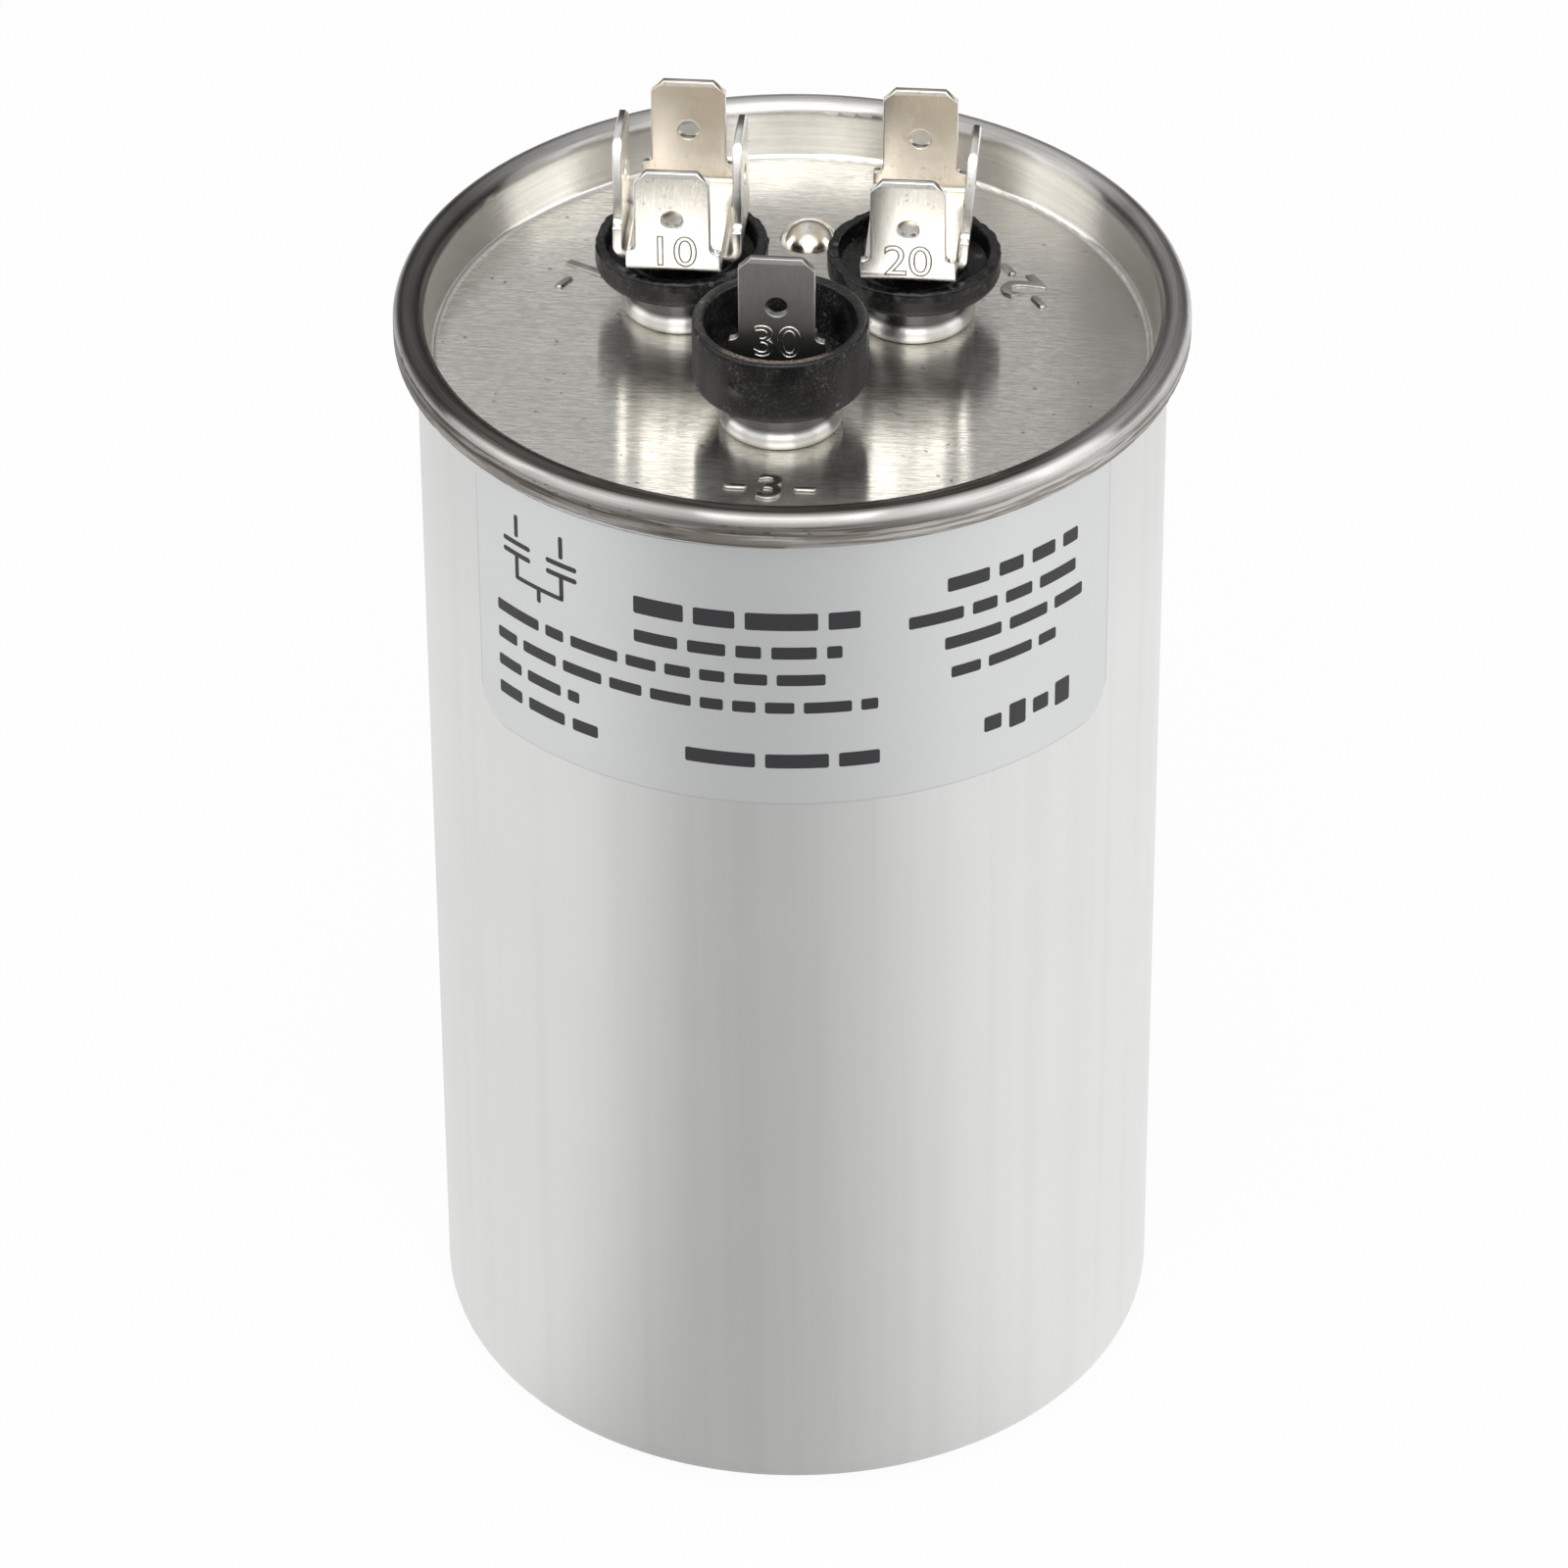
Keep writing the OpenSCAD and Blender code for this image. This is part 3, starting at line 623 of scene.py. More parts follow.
def made_mesh(build, name):
    """Mesh filled by a function that draws into a bmesh."""
    mesh = bpy.data.meshes.new(name)
    draft = bmesh.new()
    build(draft)
    bmesh.ops.remove_doubles(draft, verts=draft.verts, dist=1e-8)
    bmesh.ops.recalc_face_normals(draft, faces=draft.faces)
    draft.to_mesh(mesh)
    draft.free()
    smooth(mesh)
    return mesh


def applied_mesh(source, name):
    """Plain mesh of an object's evaluated shape; the object is removed."""
    evaluated = source.evaluated_get(bpy.context.evaluated_depsgraph_get())
    mesh = bpy.data.meshes.new_from_object(evaluated)
    mesh.name = name
    data = source.data
    bpy.data.objects.remove(source)
    if isinstance(data, bpy.types.Mesh):
        bpy.data.meshes.remove(data)
    else:
        bpy.data.curves.remove(data)
    return mesh


def join_rings(draft, rings):
    """Faces between neighbouring rings of vertices."""
    for left, right in zip(rings, rings[1:]):
        for side in range(len(left)):
            other = (side + 1) % len(left)
            draft.faces.new((left[side], right[side], right[other], left[other]))


def cap_rings(draft, rings):
    """Faces over the two end rings."""
    draft.faces.new(rings[0])
    draft.faces.new(list(reversed(rings[-1])))


def arc_points(across, along, radius, start, end, steps):
    """Points along an arc between two angles in degrees, the last one left out."""
    turns = [math.radians(start + (end - start) * step / steps) for step in range(steps)]
    return [(across + radius * math.cos(turn), along + radius * math.sin(turn)) for turn in turns]


CORNER_STEPS = 6


def quarter(across, along, radius, start, end):
    """Points along a small rounded corner, both ends kept."""
    points = arc_points(across, along, radius, start, end, CORNER_STEPS)
    return points + arc_points(across, along, radius, end, end, 1)


def round_can(arc, height, radius):
    """Place on the can's surface from an arc length off the label's middle, all in millimetres."""
    angle = LABEL_ANGLE + arc / LABEL_OUT_R
    return Vector((radius * math.cos(angle), radius * math.sin(angle), height)) * MM


LABEL_STEPS = 150
LABEL_CORNER_STEPS = 14


def label_columns(layout):
    """Arc places across the label, with the low and high edge of the film at each."""
    half = layout.width / MM / 2
    corner = layout.corner_radius / MM
    upper_corner = layout.upper_corner / MM
    inner = half - corner
    turns = [math.pi / 2 * step / LABEL_CORNER_STEPS for step in range(LABEL_CORNER_STEPS + 1)]
    ends = [corner * (1 - math.cos(turn)) for turn in turns]
    arcs = [-half + across for across in ends]
    arcs += [-inner + 2 * inner * step / LABEL_STEPS for step in range(1, LABEL_STEPS)]
    arcs += [half - across for across in reversed(ends)]

    def inset(arc, radius):
        """How far a rounded corner of this radius cuts in at an arc place."""
        past = max(0.0, abs(arc) - half + radius)
        return radius - math.sqrt(max(0.0, radius * radius - past * past))

    columns = []
    for arc in arcs:
        share = (arc + half) / (2 * half)
        top = LABEL_HIGH + (layout.left_rise * (1.0 - share) + layout.right_rise * share) / MM
        columns.append((arc, LABEL_LOW + inset(arc, corner), top - inset(arc, upper_corner)))
    return columns


def label_film_mesh(layout):
    """Closed film shell round the front of the can, with rounded corners."""

    def build(draft):
        rings = []
        for arc, low, high in label_columns(layout):
            corners = [(low, LABEL_IN_R), (high, LABEL_IN_R), (high, LABEL_OUT_R), (low, LABEL_OUT_R)]
            rings.append([draft.verts.new(round_can(arc, z, radius)) for z, radius in corners])
        join_rings(draft, rings)
        cap_rings(draft, rings)

    return made_mesh(build, "label_film")


# Bars of the sign and of the row at the lower right: arc, drop from the top, width, height, in millimetres
CAPACITOR_BARS = ((3.3, 0.42, 2.2), (5.0, 3.2, 0.48), (6.1, 3.2, 0.48), (7.3, 0.42, 2.2))
SIGN = [(arc, *bar) for arc in (-25.6, -20.6) for bar in CAPACITOR_BARS]
SIGN += [(-23.1, 8.4, 5.42, 0.42), (-23.1, 9.1, 0.42, 1.4)]
BARS = [(17.4 + index * 2.5, 19.8, 1.7, 2.4 if index % 2 else 1.5) for index in range(4)]

# Lines of print: first and last arc, drop from the top, size, and gap as a share of the size
PRINT_LINES = (
    (-13.6, 5.5, 6.4, 1.7, 0.5), (-13.6, 4.0, 9.5, 1.2, 0.7), (13.0, 26.5, 4.6, 1.35, 0.7),
    (9.6, 28.0, 7.6, 1.2, 0.7), (12.8, 28.0, 10.4, 1.2, 0.7), (-28.2, 2.6, 12.2, 1.1, 0.7),
    (-28.2, 7.0, 15.0, 1.1, 0.7), (-28.2, -19.0, 17.8, 1.1, 0.7), (13.4, 24.0, 13.4, 1.1, 0.7),
    (-28.2, -17.2, 20.6, 1.2, 0.7), (-9.2, 8.6, 20.4, 1.4, 0.6))
SHORTEST_WORD = 1.6
LONGEST_WORD = 4.6


def print_blocks(layout):
    """Print as plain blocks: arc and drop of each block's middle, with its width and height."""
    draw = random.Random(layout.print_seed)
    blocks = list(SIGN)
    for at, end, drop, size, gap in PRINT_LINES:
        while end - at > size:
            length = min(draw.uniform(SHORTEST_WORD, LONGEST_WORD) * size, end - at)
            blocks.append((at + length / 2, drop, length, size))
            at += length + gap * size
    return blocks + BARS


def print_tree():
    """Geometry Nodes that lay a rounded block at each point and wrap all of them round the can."""
    tree = bpy.data.node_groups.new("Label print", "GeometryNodeTree")
    inputs = {"Points": "Geometry", "Corner": "Float", "Radius": "Float", "Middle": "Float", "Film": "Float",
              "Ink": "Material"}
    for label, kind in inputs.items():
        tree.interface.new_socket(label, in_out="INPUT", socket_type=f"NodeSocket{kind}")
    tree.interface.new_socket("Print", in_out="OUTPUT", socket_type="NodeSocketGeometry")
    net = Net(tree)

    def named(name):
        return net.add("GeometryNodeInputNamedAttribute", {"Name": name}, data_type="FLOAT_VECTOR").outputs[0]

    def stored(geometry, name, value):
        values = {"Geometry": geometry, "Name": name, "Value": value}
        settings = {"data_type": "FLOAT_VECTOR", "domain": "INSTANCE"}
        return net.add("GeometryNodeStoreNamedAttribute", values, **settings).outputs[0]

    given = net.add("NodeGroupInput").outputs
    values = {"Size X": 2.0, "Size Y": 2.0, "Vertices X": 41, "Vertices Y": 2}
    unit = net.add("GeometryNodeMeshGrid", values).outputs["Mesh"]
    size = named("half_size")
    where = net.add("GeometryNodeInputPosition").outputs[0]
    laid = net.add("GeometryNodeInstanceOnPoints", {"Points": given["Points"], "Instance": unit}).outputs[0]
    kept = stored(stored(laid, "half_size", size), "centre", where)
    real = net.add("GeometryNodeRealizeInstances", {"Geometry": kept}).outputs[0]
    centre = named("centre")
    half_x, half_y, _ = net.split(size)
    local_x, local_y, _ = net.split(net.vector("SUBTRACT", where, centre))
    middle_x, middle_y, _ = net.split(centre)

    # Columns crowd towards the two ends, where the corners are rounded
    crowd = net.math("POWER", net.minus(1.0, net.math("ABSOLUTE", local_x)), 3.0)
    across = net.times(net.minus(1.0, crowd), net.math("SIGN", local_x), half_x)
    corner = net.least(given["Corner"], half_x, half_y)
    past = net.most(net.minus(net.math("ABSOLUTE", across), net.minus(half_x, corner)), 0.0)
    squares = net.minus(net.times(corner, corner), net.times(past, past))
    lift = net.math("SQRT", net.most(squares, 0.0))
    up = net.times(net.math("SIGN", local_y), net.plus(net.minus(half_y, corner), lift))

    arc = net.plus(middle_x, across)
    angle = net.plus(given["Middle"], net.math("DIVIDE", arc, given["Radius"]))
    wrapped = net.join(net.times(net.math("COSINE", angle), given["Radius"]),
                       net.times(net.math("SINE", angle), given["Radius"]), net.plus(middle_y, up))
    bent = net.add("GeometryNodeSetPosition", {"Geometry": real, "Position": wrapped})
    outward = net.add("GeometryNodeInputNormal").outputs[0]
    thick = net.add("GeometryNodeExtrudeMesh", {"Mesh": bent.outputs[0], "Offset": outward,
                                                "Offset Scale": given["Film"], "Individual": False})
    inked = net.add("GeometryNodeSetMaterial", {"Geometry": thick.outputs["Mesh"], "Material": given["Ink"]})
    net.feed(net.add("NodeGroupOutput").inputs[0], inked.outputs[0])
    return tree


def printed_mesh(layout, ink):
    """Mesh of the print, through the node tree."""
    blocks = print_blocks(layout)
    points = bpy.data.meshes.new("print_points")
    points.from_pydata([(arc * MM, (LABEL_HIGH - drop) * MM, 0.0) for arc, drop, _, _ in blocks], [], [])
    sizes = points.attributes.new("half_size", "FLOAT_VECTOR", "POINT")
    for entry, (_, _, width, height) in zip(sizes.data, blocks):
        entry.vector = (width * MM / 2, height * MM / 2, 0.0)
    holder = linked("print_points", points)
    tree = print_tree()
    modifier = holder.modifiers.new("Print", "NODES")
    modifier.node_group = tree
    values = {"Corner": layout.block_corner, "Radius": LABEL_OUT_R * MM + layout.ink_lift,
              "Middle": LABEL_ANGLE, "Film": layout.ink_lift, "Ink": ink}
    for item in tree.interface.items_tree:
        if item.name in values and item.in_out == "INPUT":
            modifier[item.identifier] = values[item.name]
    return applied_mesh(holder, "label_print")


def text_mesh(text, size, extrude, bevel, outline):
    """Flat lettering as a mesh, centred on the origin, face up."""
    curve = settled(bpy.data.curves.new("mark", "FONT"), body=text, size=size * MM, align_x="CENTER",
                    align_y="CENTER", extrude=extrude * MM, bevel_depth=bevel * MM, bevel_resolution=2,
                    resolution_u=8)
    if outline:
        curve.fill_mode = "NONE"
    mesh = applied_mesh(linked("mark", curve), "mark")
    smooth(mesh)
    return mesh


# Bars beside the lid's numerals, in millimetres
BAR_REACH = 2.9
BAR_HALF_LENGTH = 1.05
BAR_HALF_WIDTH = 0.42
BAR_SIDES = 24


def raised_bar(draft, middle_at, rise):
    """Low bar with sloping sides, for a stamped mark beside a numeral."""
    slope = rise * 0.8
    levels = ((-0.04, 0.0), (0.3 * rise, 0.15 * slope), (0.85 * rise, 0.6 * slope), (rise, slope))
    rings = []
    for level, inset in levels:
        ring = []
        for turn in range(BAR_SIDES):
            angle = 2 * math.pi * turn / BAR_SIDES
            shift = math.copysign(BAR_HALF_LENGTH - BAR_HALF_WIDTH, math.cos(angle))
            x = shift + (BAR_HALF_WIDTH - inset) * math.cos(angle)
            y = (BAR_HALF_WIDTH - inset) * math.sin(angle)
            ring.append(draft.verts.new(((middle_at + x) * MM, y * MM, level * MM)))
        rings.append(ring)
    join_rings(draft, rings)
    cap_rings(draft, rings)


def lid_mark_mesh(text, centre, marks):
    """Numeral between two bars, stamped up from the panel and turned to its terminal."""
    mesh = text_mesh(text, marks.size / MM, 0.02, marks.rise / MM * 0.8, False)

    def build(draft):
        draft.from_mesh(mesh)
        for side in (-1, 1):
            raised_bar(draft, side * BAR_REACH, marks.rise / MM)

    joined = made_mesh(build, "stamped_mark")
    bpy.data.meshes.remove(mesh)
    away = centre.normalized() * (marks.reach / MM)
    turn = math.atan2(centre.y, centre.x) + math.pi / 2
    at = Matrix.Translation(Vector((away.x, away.y, PANEL_Z + 0.02)) * MM)
    joined.transform(at @ Matrix.Rotation(turn, 4, "Z"))
    return joined


# Places of the blades' numerals, from the front bends and from the fan's axis and seat, in millimetres
BEND_REACH = 6.09
BEND_OUT_R = 1.4
MARK_UP = 1.0
FAN_MARK_OUT = 3.45
FAN_MARK_UP = 3.0


def blade_mark_mesh(text, centre, out, up, lean, marks):
    """Stamped outline of a numeral on the front of a blade, out from its terminal and up from its seat."""
    mesh = text_mesh(text, marks.blade_size / MM, 0.0, marks.line / MM, True)
    stand = Matrix.Rotation(math.pi / 2 + lean, 4, "X")
    mesh.transform(Matrix.Translation(Vector((centre.x, centre.y - out, SEAT_Z + up)) * MM) @ stand)
    return mesh


Bracket = namedtuple("Bracket", "node terminal turn tip_reach lean foot_height lift plate_width paired")

# Folded brackets by piece; turn and lean in degrees, lengths in millimetres
BRACKETS = {
    "common_cross_blades": Bracket("common_cross_tabs", "common", 90, 5.05, 0.0, 1.8, 0.0, 7.8, True),
    "common_long_blades": Bracket("common_long_tabs", "common", 0, 7.4, 2.0, 1.0, 0.8, 7.8, True),
    "compressor_side_blade": Bracket("compressor_side_tab", "compressor", -90, 5.1, 4.4, 1.8, 0.0, 7.8,
                                     False),
    "compressor_long_blades": Bracket("compressor_long_tabs", "compressor", 0, 7.4, 2.0, 1.0, 0.8, 7.8, True),
    "fan_blade": Bracket("fan_tab", "fan", 180, 3.05, 0.0, 1.8, 0.0, 5.8, False),
}
RIVET_HOLE_R = 1.4
TAB_TAIL = 2.7
SHOULDER_CORNER = 0.22
TIP_TAPER_LENGTH = 0.45
TIP_TAPER = 0.7
HOLE_SIDES = 32
BEND_STEPS = 14


def hole_points(along, radius):
    """Points of a round hole on a bracket laid flat."""
    return arc_points(0.0, along, radius, 0, 360, HOLE_SIDES)


def leg_edge(reach, shoulder, tip, half_plate, looks):
    """One edge of a leg laid flat, from its plate to its tip: across and along, in millimetres."""
    half_foot = looks.foot_width / MM / 2
    half_blade = looks.blade_width / MM / 2
    fillet = looks.shoulder_fillet / MM
    chamfer = looks.tip_chamfer / MM
    plate_end = reach - looks.sheet / MM
    edge = [(half_plate, plate_end), (half_foot, plate_end)]
    edge += quarter(half_foot - SHOULDER_CORNER, shoulder - SHOULDER_CORNER, SHOULDER_CORNER, 0, 90)
    edge += quarter(half_blade + fillet, shoulder + fillet, fillet, 270, 180)
    edge += [(half_blade, tip - chamfer), (half_blade - chamfer, tip)]
    return edge


def flat_bracket(outlines, looks):
    """Bracket laid flat as a mesh with rounded edges, in millimetres."""
    soft = looks.edge_round / MM
    curve = settled(bpy.data.curves.new("bracket", "CURVE"), dimensions="2D", fill_mode="BOTH",
                    bevel_depth=soft, bevel_resolution=2, offset=-soft, extrude=looks.sheet / MM / 2 - soft)
    for outline in outlines:
        spline = curve.splines.new("POLY")
        spline.points.add(len(outline) - 1)
        for point, (across, along) in zip(spline.points, outline):
            point.co = (across, along, 0.0, 1.0)
        spline.use_cyclic_u = True
    return applied_mesh(linked("bracket", curve), "bracket")


def bracket_mesh(name, looks):
    """Folded bracket of one or two push-on blades, bent up from its flat outline."""
    bracket = BRACKETS[name]
    lean = math.radians(bracket.lean)
    sheet = looks.sheet / MM
    bend = looks.bend_radius / MM
    rise = bracket.foot_height + looks.blade_length / MM
    reach = bracket.tip_reach - bend * math.cos(lean) - rise * math.sin(lean)
    bent = bend * (math.pi / 2 - lean)
    shoulder = reach + bent + bracket.foot_height
    tip = reach + bent + rise
    half_plate = bracket.plate_width / 2
    edge = leg_edge(reach, shoulder, tip, half_plate, looks)
    outline = edge + [(-across, along) for across, along in reversed(edge)]
    hole_at = tip - looks.hole_drop / MM
    hole_r = looks.hole_diameter / MM / 2
    outlines = [outline, hole_points(hole_at, hole_r), hole_points(0.0, RIVET_HOLE_R)]
    if bracket.paired:
        outline += [(-across, -along) for across, along in outline]
        outlines.append(hole_points(-hole_at, hole_r))
    else:
        outline += [(-half_plate, -TAB_TAIL), (half_plate, -TAB_TAIL)]
    flat = flat_bracket(outlines, looks)
    taper_from = tip - TIP_TAPER_LENGTH
    cuts = [reach + bent * step / BEND_STEPS for step in range(BEND_STEPS + 1)] + [taper_from]

    def fold(place):
        """Place on the bent bracket for a place on the flat one."""
        side = 1.0 if place.y >= 0.0 else -1.0
        along = abs(place.y)
        inward = place.z * (1.0 + (TIP_TAPER - 1.0) * max(0.0, along - taper_from) / (tip - taper_from))
        if along <= reach:
            y, z = along, sheet / 2 + inward
        else:
            angle = min((along - reach) / bend, math.pi / 2 - lean)
            past = max(0.0, along - reach - bent)
            y = reach + (bend - inward) * math.sin(angle) + past * math.sin(lean)
            z = sheet / 2 + bend - (bend - inward) * math.cos(angle) + past * math.cos(lean)
        return Vector((place.x, side * y, z))

    draft = bmesh.new()
    draft.from_mesh(flat)
    bpy.data.meshes.remove(flat)
    bmesh.ops.remove_doubles(draft, verts=draft.verts, dist=1e-4)
    for cut in cuts:
        for side in (1.0, -1.0) if bracket.paired else (1.0,):
            geometry = draft.verts[:] + draft.edges[:] + draft.faces[:]
            at = (0.0, side * cut, 0.0)
            bmesh.ops.bisect_plane(draft, geom=geometry, plane_co=at, plane_no=(0.0, 1.0, 0.0))
    draft.normal_update()
    for face in draft.faces:
        face.smooth = abs(face.normal.z) < 0.999
    for vertex in draft.verts:
        vertex.co = fold(vertex.co)
    bmesh.ops.recalc_face_normals(draft, faces=draft.faces)
    mesh = bpy.data.meshes.new(name)
    draft.to_mesh(mesh)
    draft.free()
    seat = Matrix.Translation(Vector((*CENTRES[bracket.terminal], SEAT_Z + bracket.lift)) * MM)
    mesh.transform(seat @ Matrix.Rotation(math.radians(bracket.turn), 4, "Z") @ Matrix.Scale(MM, 4))
    return mesh


# Sizes of a cup and of its ragged rim, in millimetres
CUP_SEAT_R = 4.4
CUP_BORE_R = 1.4
CUP_RIM_EDGE = 0.3
CUP_FOOT_EDGE = 0.8
CUP_FLOOR_Z = CUP_FOOT + 1.0
CUP_ROWS = 20
CUP_SIDES = 240
RAGGED_START = 0.9
RAGGED_FADE = 0.8
RIM_WAVES = (3, 5, 7, 11, 17, 29, 43)


def cup_profile(rim_z, looks):
    """Half section of a cup, from its bore at the foot round the outside to the seat, in millimetres."""
    outer = looks.cup_diameter / MM / 2
    inner = outer - looks.cup_wall / MM
    wall_low = CUP_FOOT + CUP_FOOT_EDGE
    wall_high = rim_z - CUP_RIM_EDGE
    outline = [(CUP_BORE_R, CUP_FOOT)]
    outline += quarter(outer - CUP_FOOT_EDGE, wall_low, CUP_FOOT_EDGE, -90, 0)
    outline += [(outer, wall_low + (wall_high - wall_low) * step / CUP_ROWS) for step in range(1, CUP_ROWS)]
    outline += quarter(outer - CUP_RIM_EDGE, wall_high, CUP_RIM_EDGE, 0, 90)
    outline += quarter(inner + CUP_RIM_EDGE, wall_high, CUP_RIM_EDGE, 90, 180)
    outline += [(inner, CUP_FLOOR_Z + 0.35), (inner - 0.12, CUP_FLOOR_Z + 0.1), (inner - 0.4, CUP_FLOOR_Z)]
    outline += [(CUP_SEAT_R + 0.2, CUP_FLOOR_Z), (CUP_SEAT_R, CUP_FLOOR_Z + 0.15)]
    outline += [(CUP_SEAT_R, SEAT_Z - 0.12), (CUP_SEAT_R - 0.12, SEAT_Z), (CUP_BORE_R, SEAT_Z)]
    return outline


def cup_mesh(name, rim_z, ragged, nub_rise, looks):
    """Moulded cup: a turned section with a ragged rim and, on the tall one, a moulding nub."""
    outline = cup_profile(rim_z, looks)
    outer = looks.cup_diameter / MM / 2
    centre = CENTRES[name]
    draw = random.Random(f"{name} cup")
    waves = [(count, draw.uniform(0, 2 * math.pi), draw.uniform(0.3, 1.0)) for count in RIM_WAVES]

    def wave(angle):
        return sum(size * math.sin(count * angle + phase) for count, phase, size in waves) / 3.2

    def build(draft):
        rings = []
        for turn in range(CUP_SIDES):
            angle = 2 * math.pi * turn / CUP_SIDES
            uneven = wave(angle)
            ring = []
            for radius, z in outline:
                share = max(0.0, min(1.0, (z - rim_z + RAGGED_START) / RAGGED_FADE))
                if radius <= outer - 1.2:
                    share = 0.0
                out = radius + ragged * uneven * share * (1.0 if radius > outer - 0.5 else -0.4)
                if radius > outer - 0.01:
                    off = math.hypot((angle - NUB_TURN) * outer, z - NUB_Z) / NUB_SIZE
                    out += nub_rise * math.exp(-off * off)
                lift = min(0.0, ragged * 0.9 * wave(angle + 1.7)) * share
                x = centre.x + out * math.cos(angle)
                y = centre.y + out * math.sin(angle)
                ring.append(draft.verts.new(Vector((x, y, z + lift)) * MM))
            rings.append(ring)
        join_rings(draft, rings + rings[:1])

    return made_mesh(build, f"{name}_cup")


# Sizes and colours that a user would change


def length(name, description, default):
    """Length property in metres."""
    return bpy.props.FloatProperty(name=name, description=description, default=default, precision=6,
                                   unit="LENGTH")


def factor(name, description, default):
    """Property between 0 and 1."""
    return bpy.props.FloatProperty(name=name, description=description, default=default, min=0.0, max=1.0,
                                   subtype="FACTOR")


def level(name, description, default, subtype="NONE"):
    """Property from 0 up."""
    return bpy.props.FloatProperty(name=name, description=description, default=default, min=0.0,
                                   subtype=subtype)


def tint(name, description, default):
    """Colour property."""
    return bpy.props.FloatVectorProperty(name=name, description=description, default=default, size=3, min=0.0,
                                         max=1.0, subtype="COLOR")


class CanLooks(bpy.types.PropertyGroup):
    wall_colour: tint("Wall colour", "Colour of the drawn aluminium", (0.79, 0.79, 0.775))
    wall_roughness: factor("Wall roughness", "How soft the wall's reflections are", 0.36)
    grain_depth: length("Draw line depth", "Depth of the faint upright draw lines", 0.0000006)


class LidLooks(bpy.types.PropertyGroup):
    panel_colour: tint("Panel colour", "Colour of the bright tinplate", (0.91, 0.893, 0.842))
    panel_stain: tint("Panel stain", "Colour of the darker brushed lines and patches", (0.62, 0.6, 0.555))
    fleck_colour: tint("Fleck colour", "Colour of the short bright brushed lines", (1.0, 0.985, 0.945))
    wall_colour: tint("Wall colour", "Colour of the lid's inner wall", (0.8, 0.785, 0.745))
    # Also the colour of the painted shade on the panel
    scratch_colour: tint("Scratch colour", "Colour in the deeper scratches", (0.42, 0.4, 0.37))
    boss_colour: tint("Boss colour", "Colour of the polished bosses", (0.76, 0.75, 0.725))
    dirt_colour: tint("Dirt colour", "Brown dirt in the seam and in specks", (0.055, 0.043, 0.033))
    seam_colour: tint("Seam colour", "Colour of the rolled seam", (0.72, 0.705, 0.68))
    # Also the colour of the painted dark reflection on the seam's top and of painted shade on the seam and
    # the bosses' necks
    seam_stain: tint("Seam stain", "Brown-grey film on the top of the seam", (0.105, 0.1, 0.094))
    lip_colour: tint("Lip colour", "Colour of the dirty inner lip of the seam", (0.035, 0.028, 0.022))
    foot_stain: tint("Foot stain", "Colour of the dull lines along the seam's foot", (0.23, 0.205, 0.17))
    panel_roughness: factor("Panel roughness", "How soft the panel's reflections are", 0.19)
    seam_roughness: factor("Seam roughness", "How soft the seam's reflections are", 0.24)
    boss_roughness: factor("Boss roughness", "How soft the reflections in the bosses are", 0.29)
    brush_pull: factor("Brush pull", "How far reflections are drawn out across the brushing", 1.0)
    brush_depth: length("Brush depth", "Depth of the brushed lines", 0.0000022)


class MarkLooks(bpy.types.PropertyGroup):
    size: length("Numeral size", "Height of the type for the lid's numerals", 0.005)
    rise: length("Rise", "How far the lid's marks stand up from the panel", 0.00026)
    reach: length("Reach", "Distance of the lid's marks from the axis", 0.0218)
    blade_size: length("Blade numeral size", "Height of the type for the blades' numerals", 0.0042)
    line: length("Stamped line", "Half width of the stamped outlines on the blades", 0.00007)


class TabLooks(bpy.types.PropertyGroup):
    plating: tint("Plating", "Colour of the tin plating", (0.97, 0.962, 0.94))
    stain: tint("Stain", "Colour where the plating has yellowed", (0.9, 0.872, 0.815))
    # Painted shade on the rear blades; also the stain on the plug
    rear_stain: tint("Rear stain", "Colour of the browned tabs at the rear", (0.7, 0.61, 0.49))
    speck: tint("Speck", "Colour of small dull specks", (0.42, 0.39, 0.34))
    worn_edge: tint("Worn edge", "Colour of the rubbed edges", (0.92, 0.9, 0.85))
    roughness: factor("Roughness", "How soft the tabs' reflections are", 0.26)
    fan_roughness: factor("Fan tab roughness", "How soft the fan tab's reflections are", 0.36)
    # Painted shade: darkens the fan tab's plating and stain
    fan_shade: factor("Fan tab shade", "How much duller the fan tab's plating is", 0.4)
    grain_depth: length("Grain depth", "Depth of the rolling grain", 0.0000006)
    sheet: length("Sheet", "Thickness of the tab sheet", 0.0008)
    blade_width: length("Blade width", "Width of a push-on blade", 0.00635)
    blade_length: length("Blade length", "Length of a blade from its shoulders to its tip", 0.0079)
    foot_width: length("Foot width", "Width of the foot below the shoulders", 0.008)
    bend_radius: length("Bend radius", "Radius of the bends at the middle of the sheet", 0.001)
    shoulder_fillet: length("Shoulder fillet", "Fillet between a shoulder and the blade", 0.0006)
    tip_chamfer: length("Tip chamfer", "Chamfer on the tips' corners", 0.00105)
    hole_diameter: length("Hole diameter", "Diameter of the detent holes", 0.0018)
    hole_drop: length("Hole drop", "Distance of the detent holes from the tips", 0.0046)
    edge_round: length("Edge round", "Radius of the rubbed edges", 0.0001)


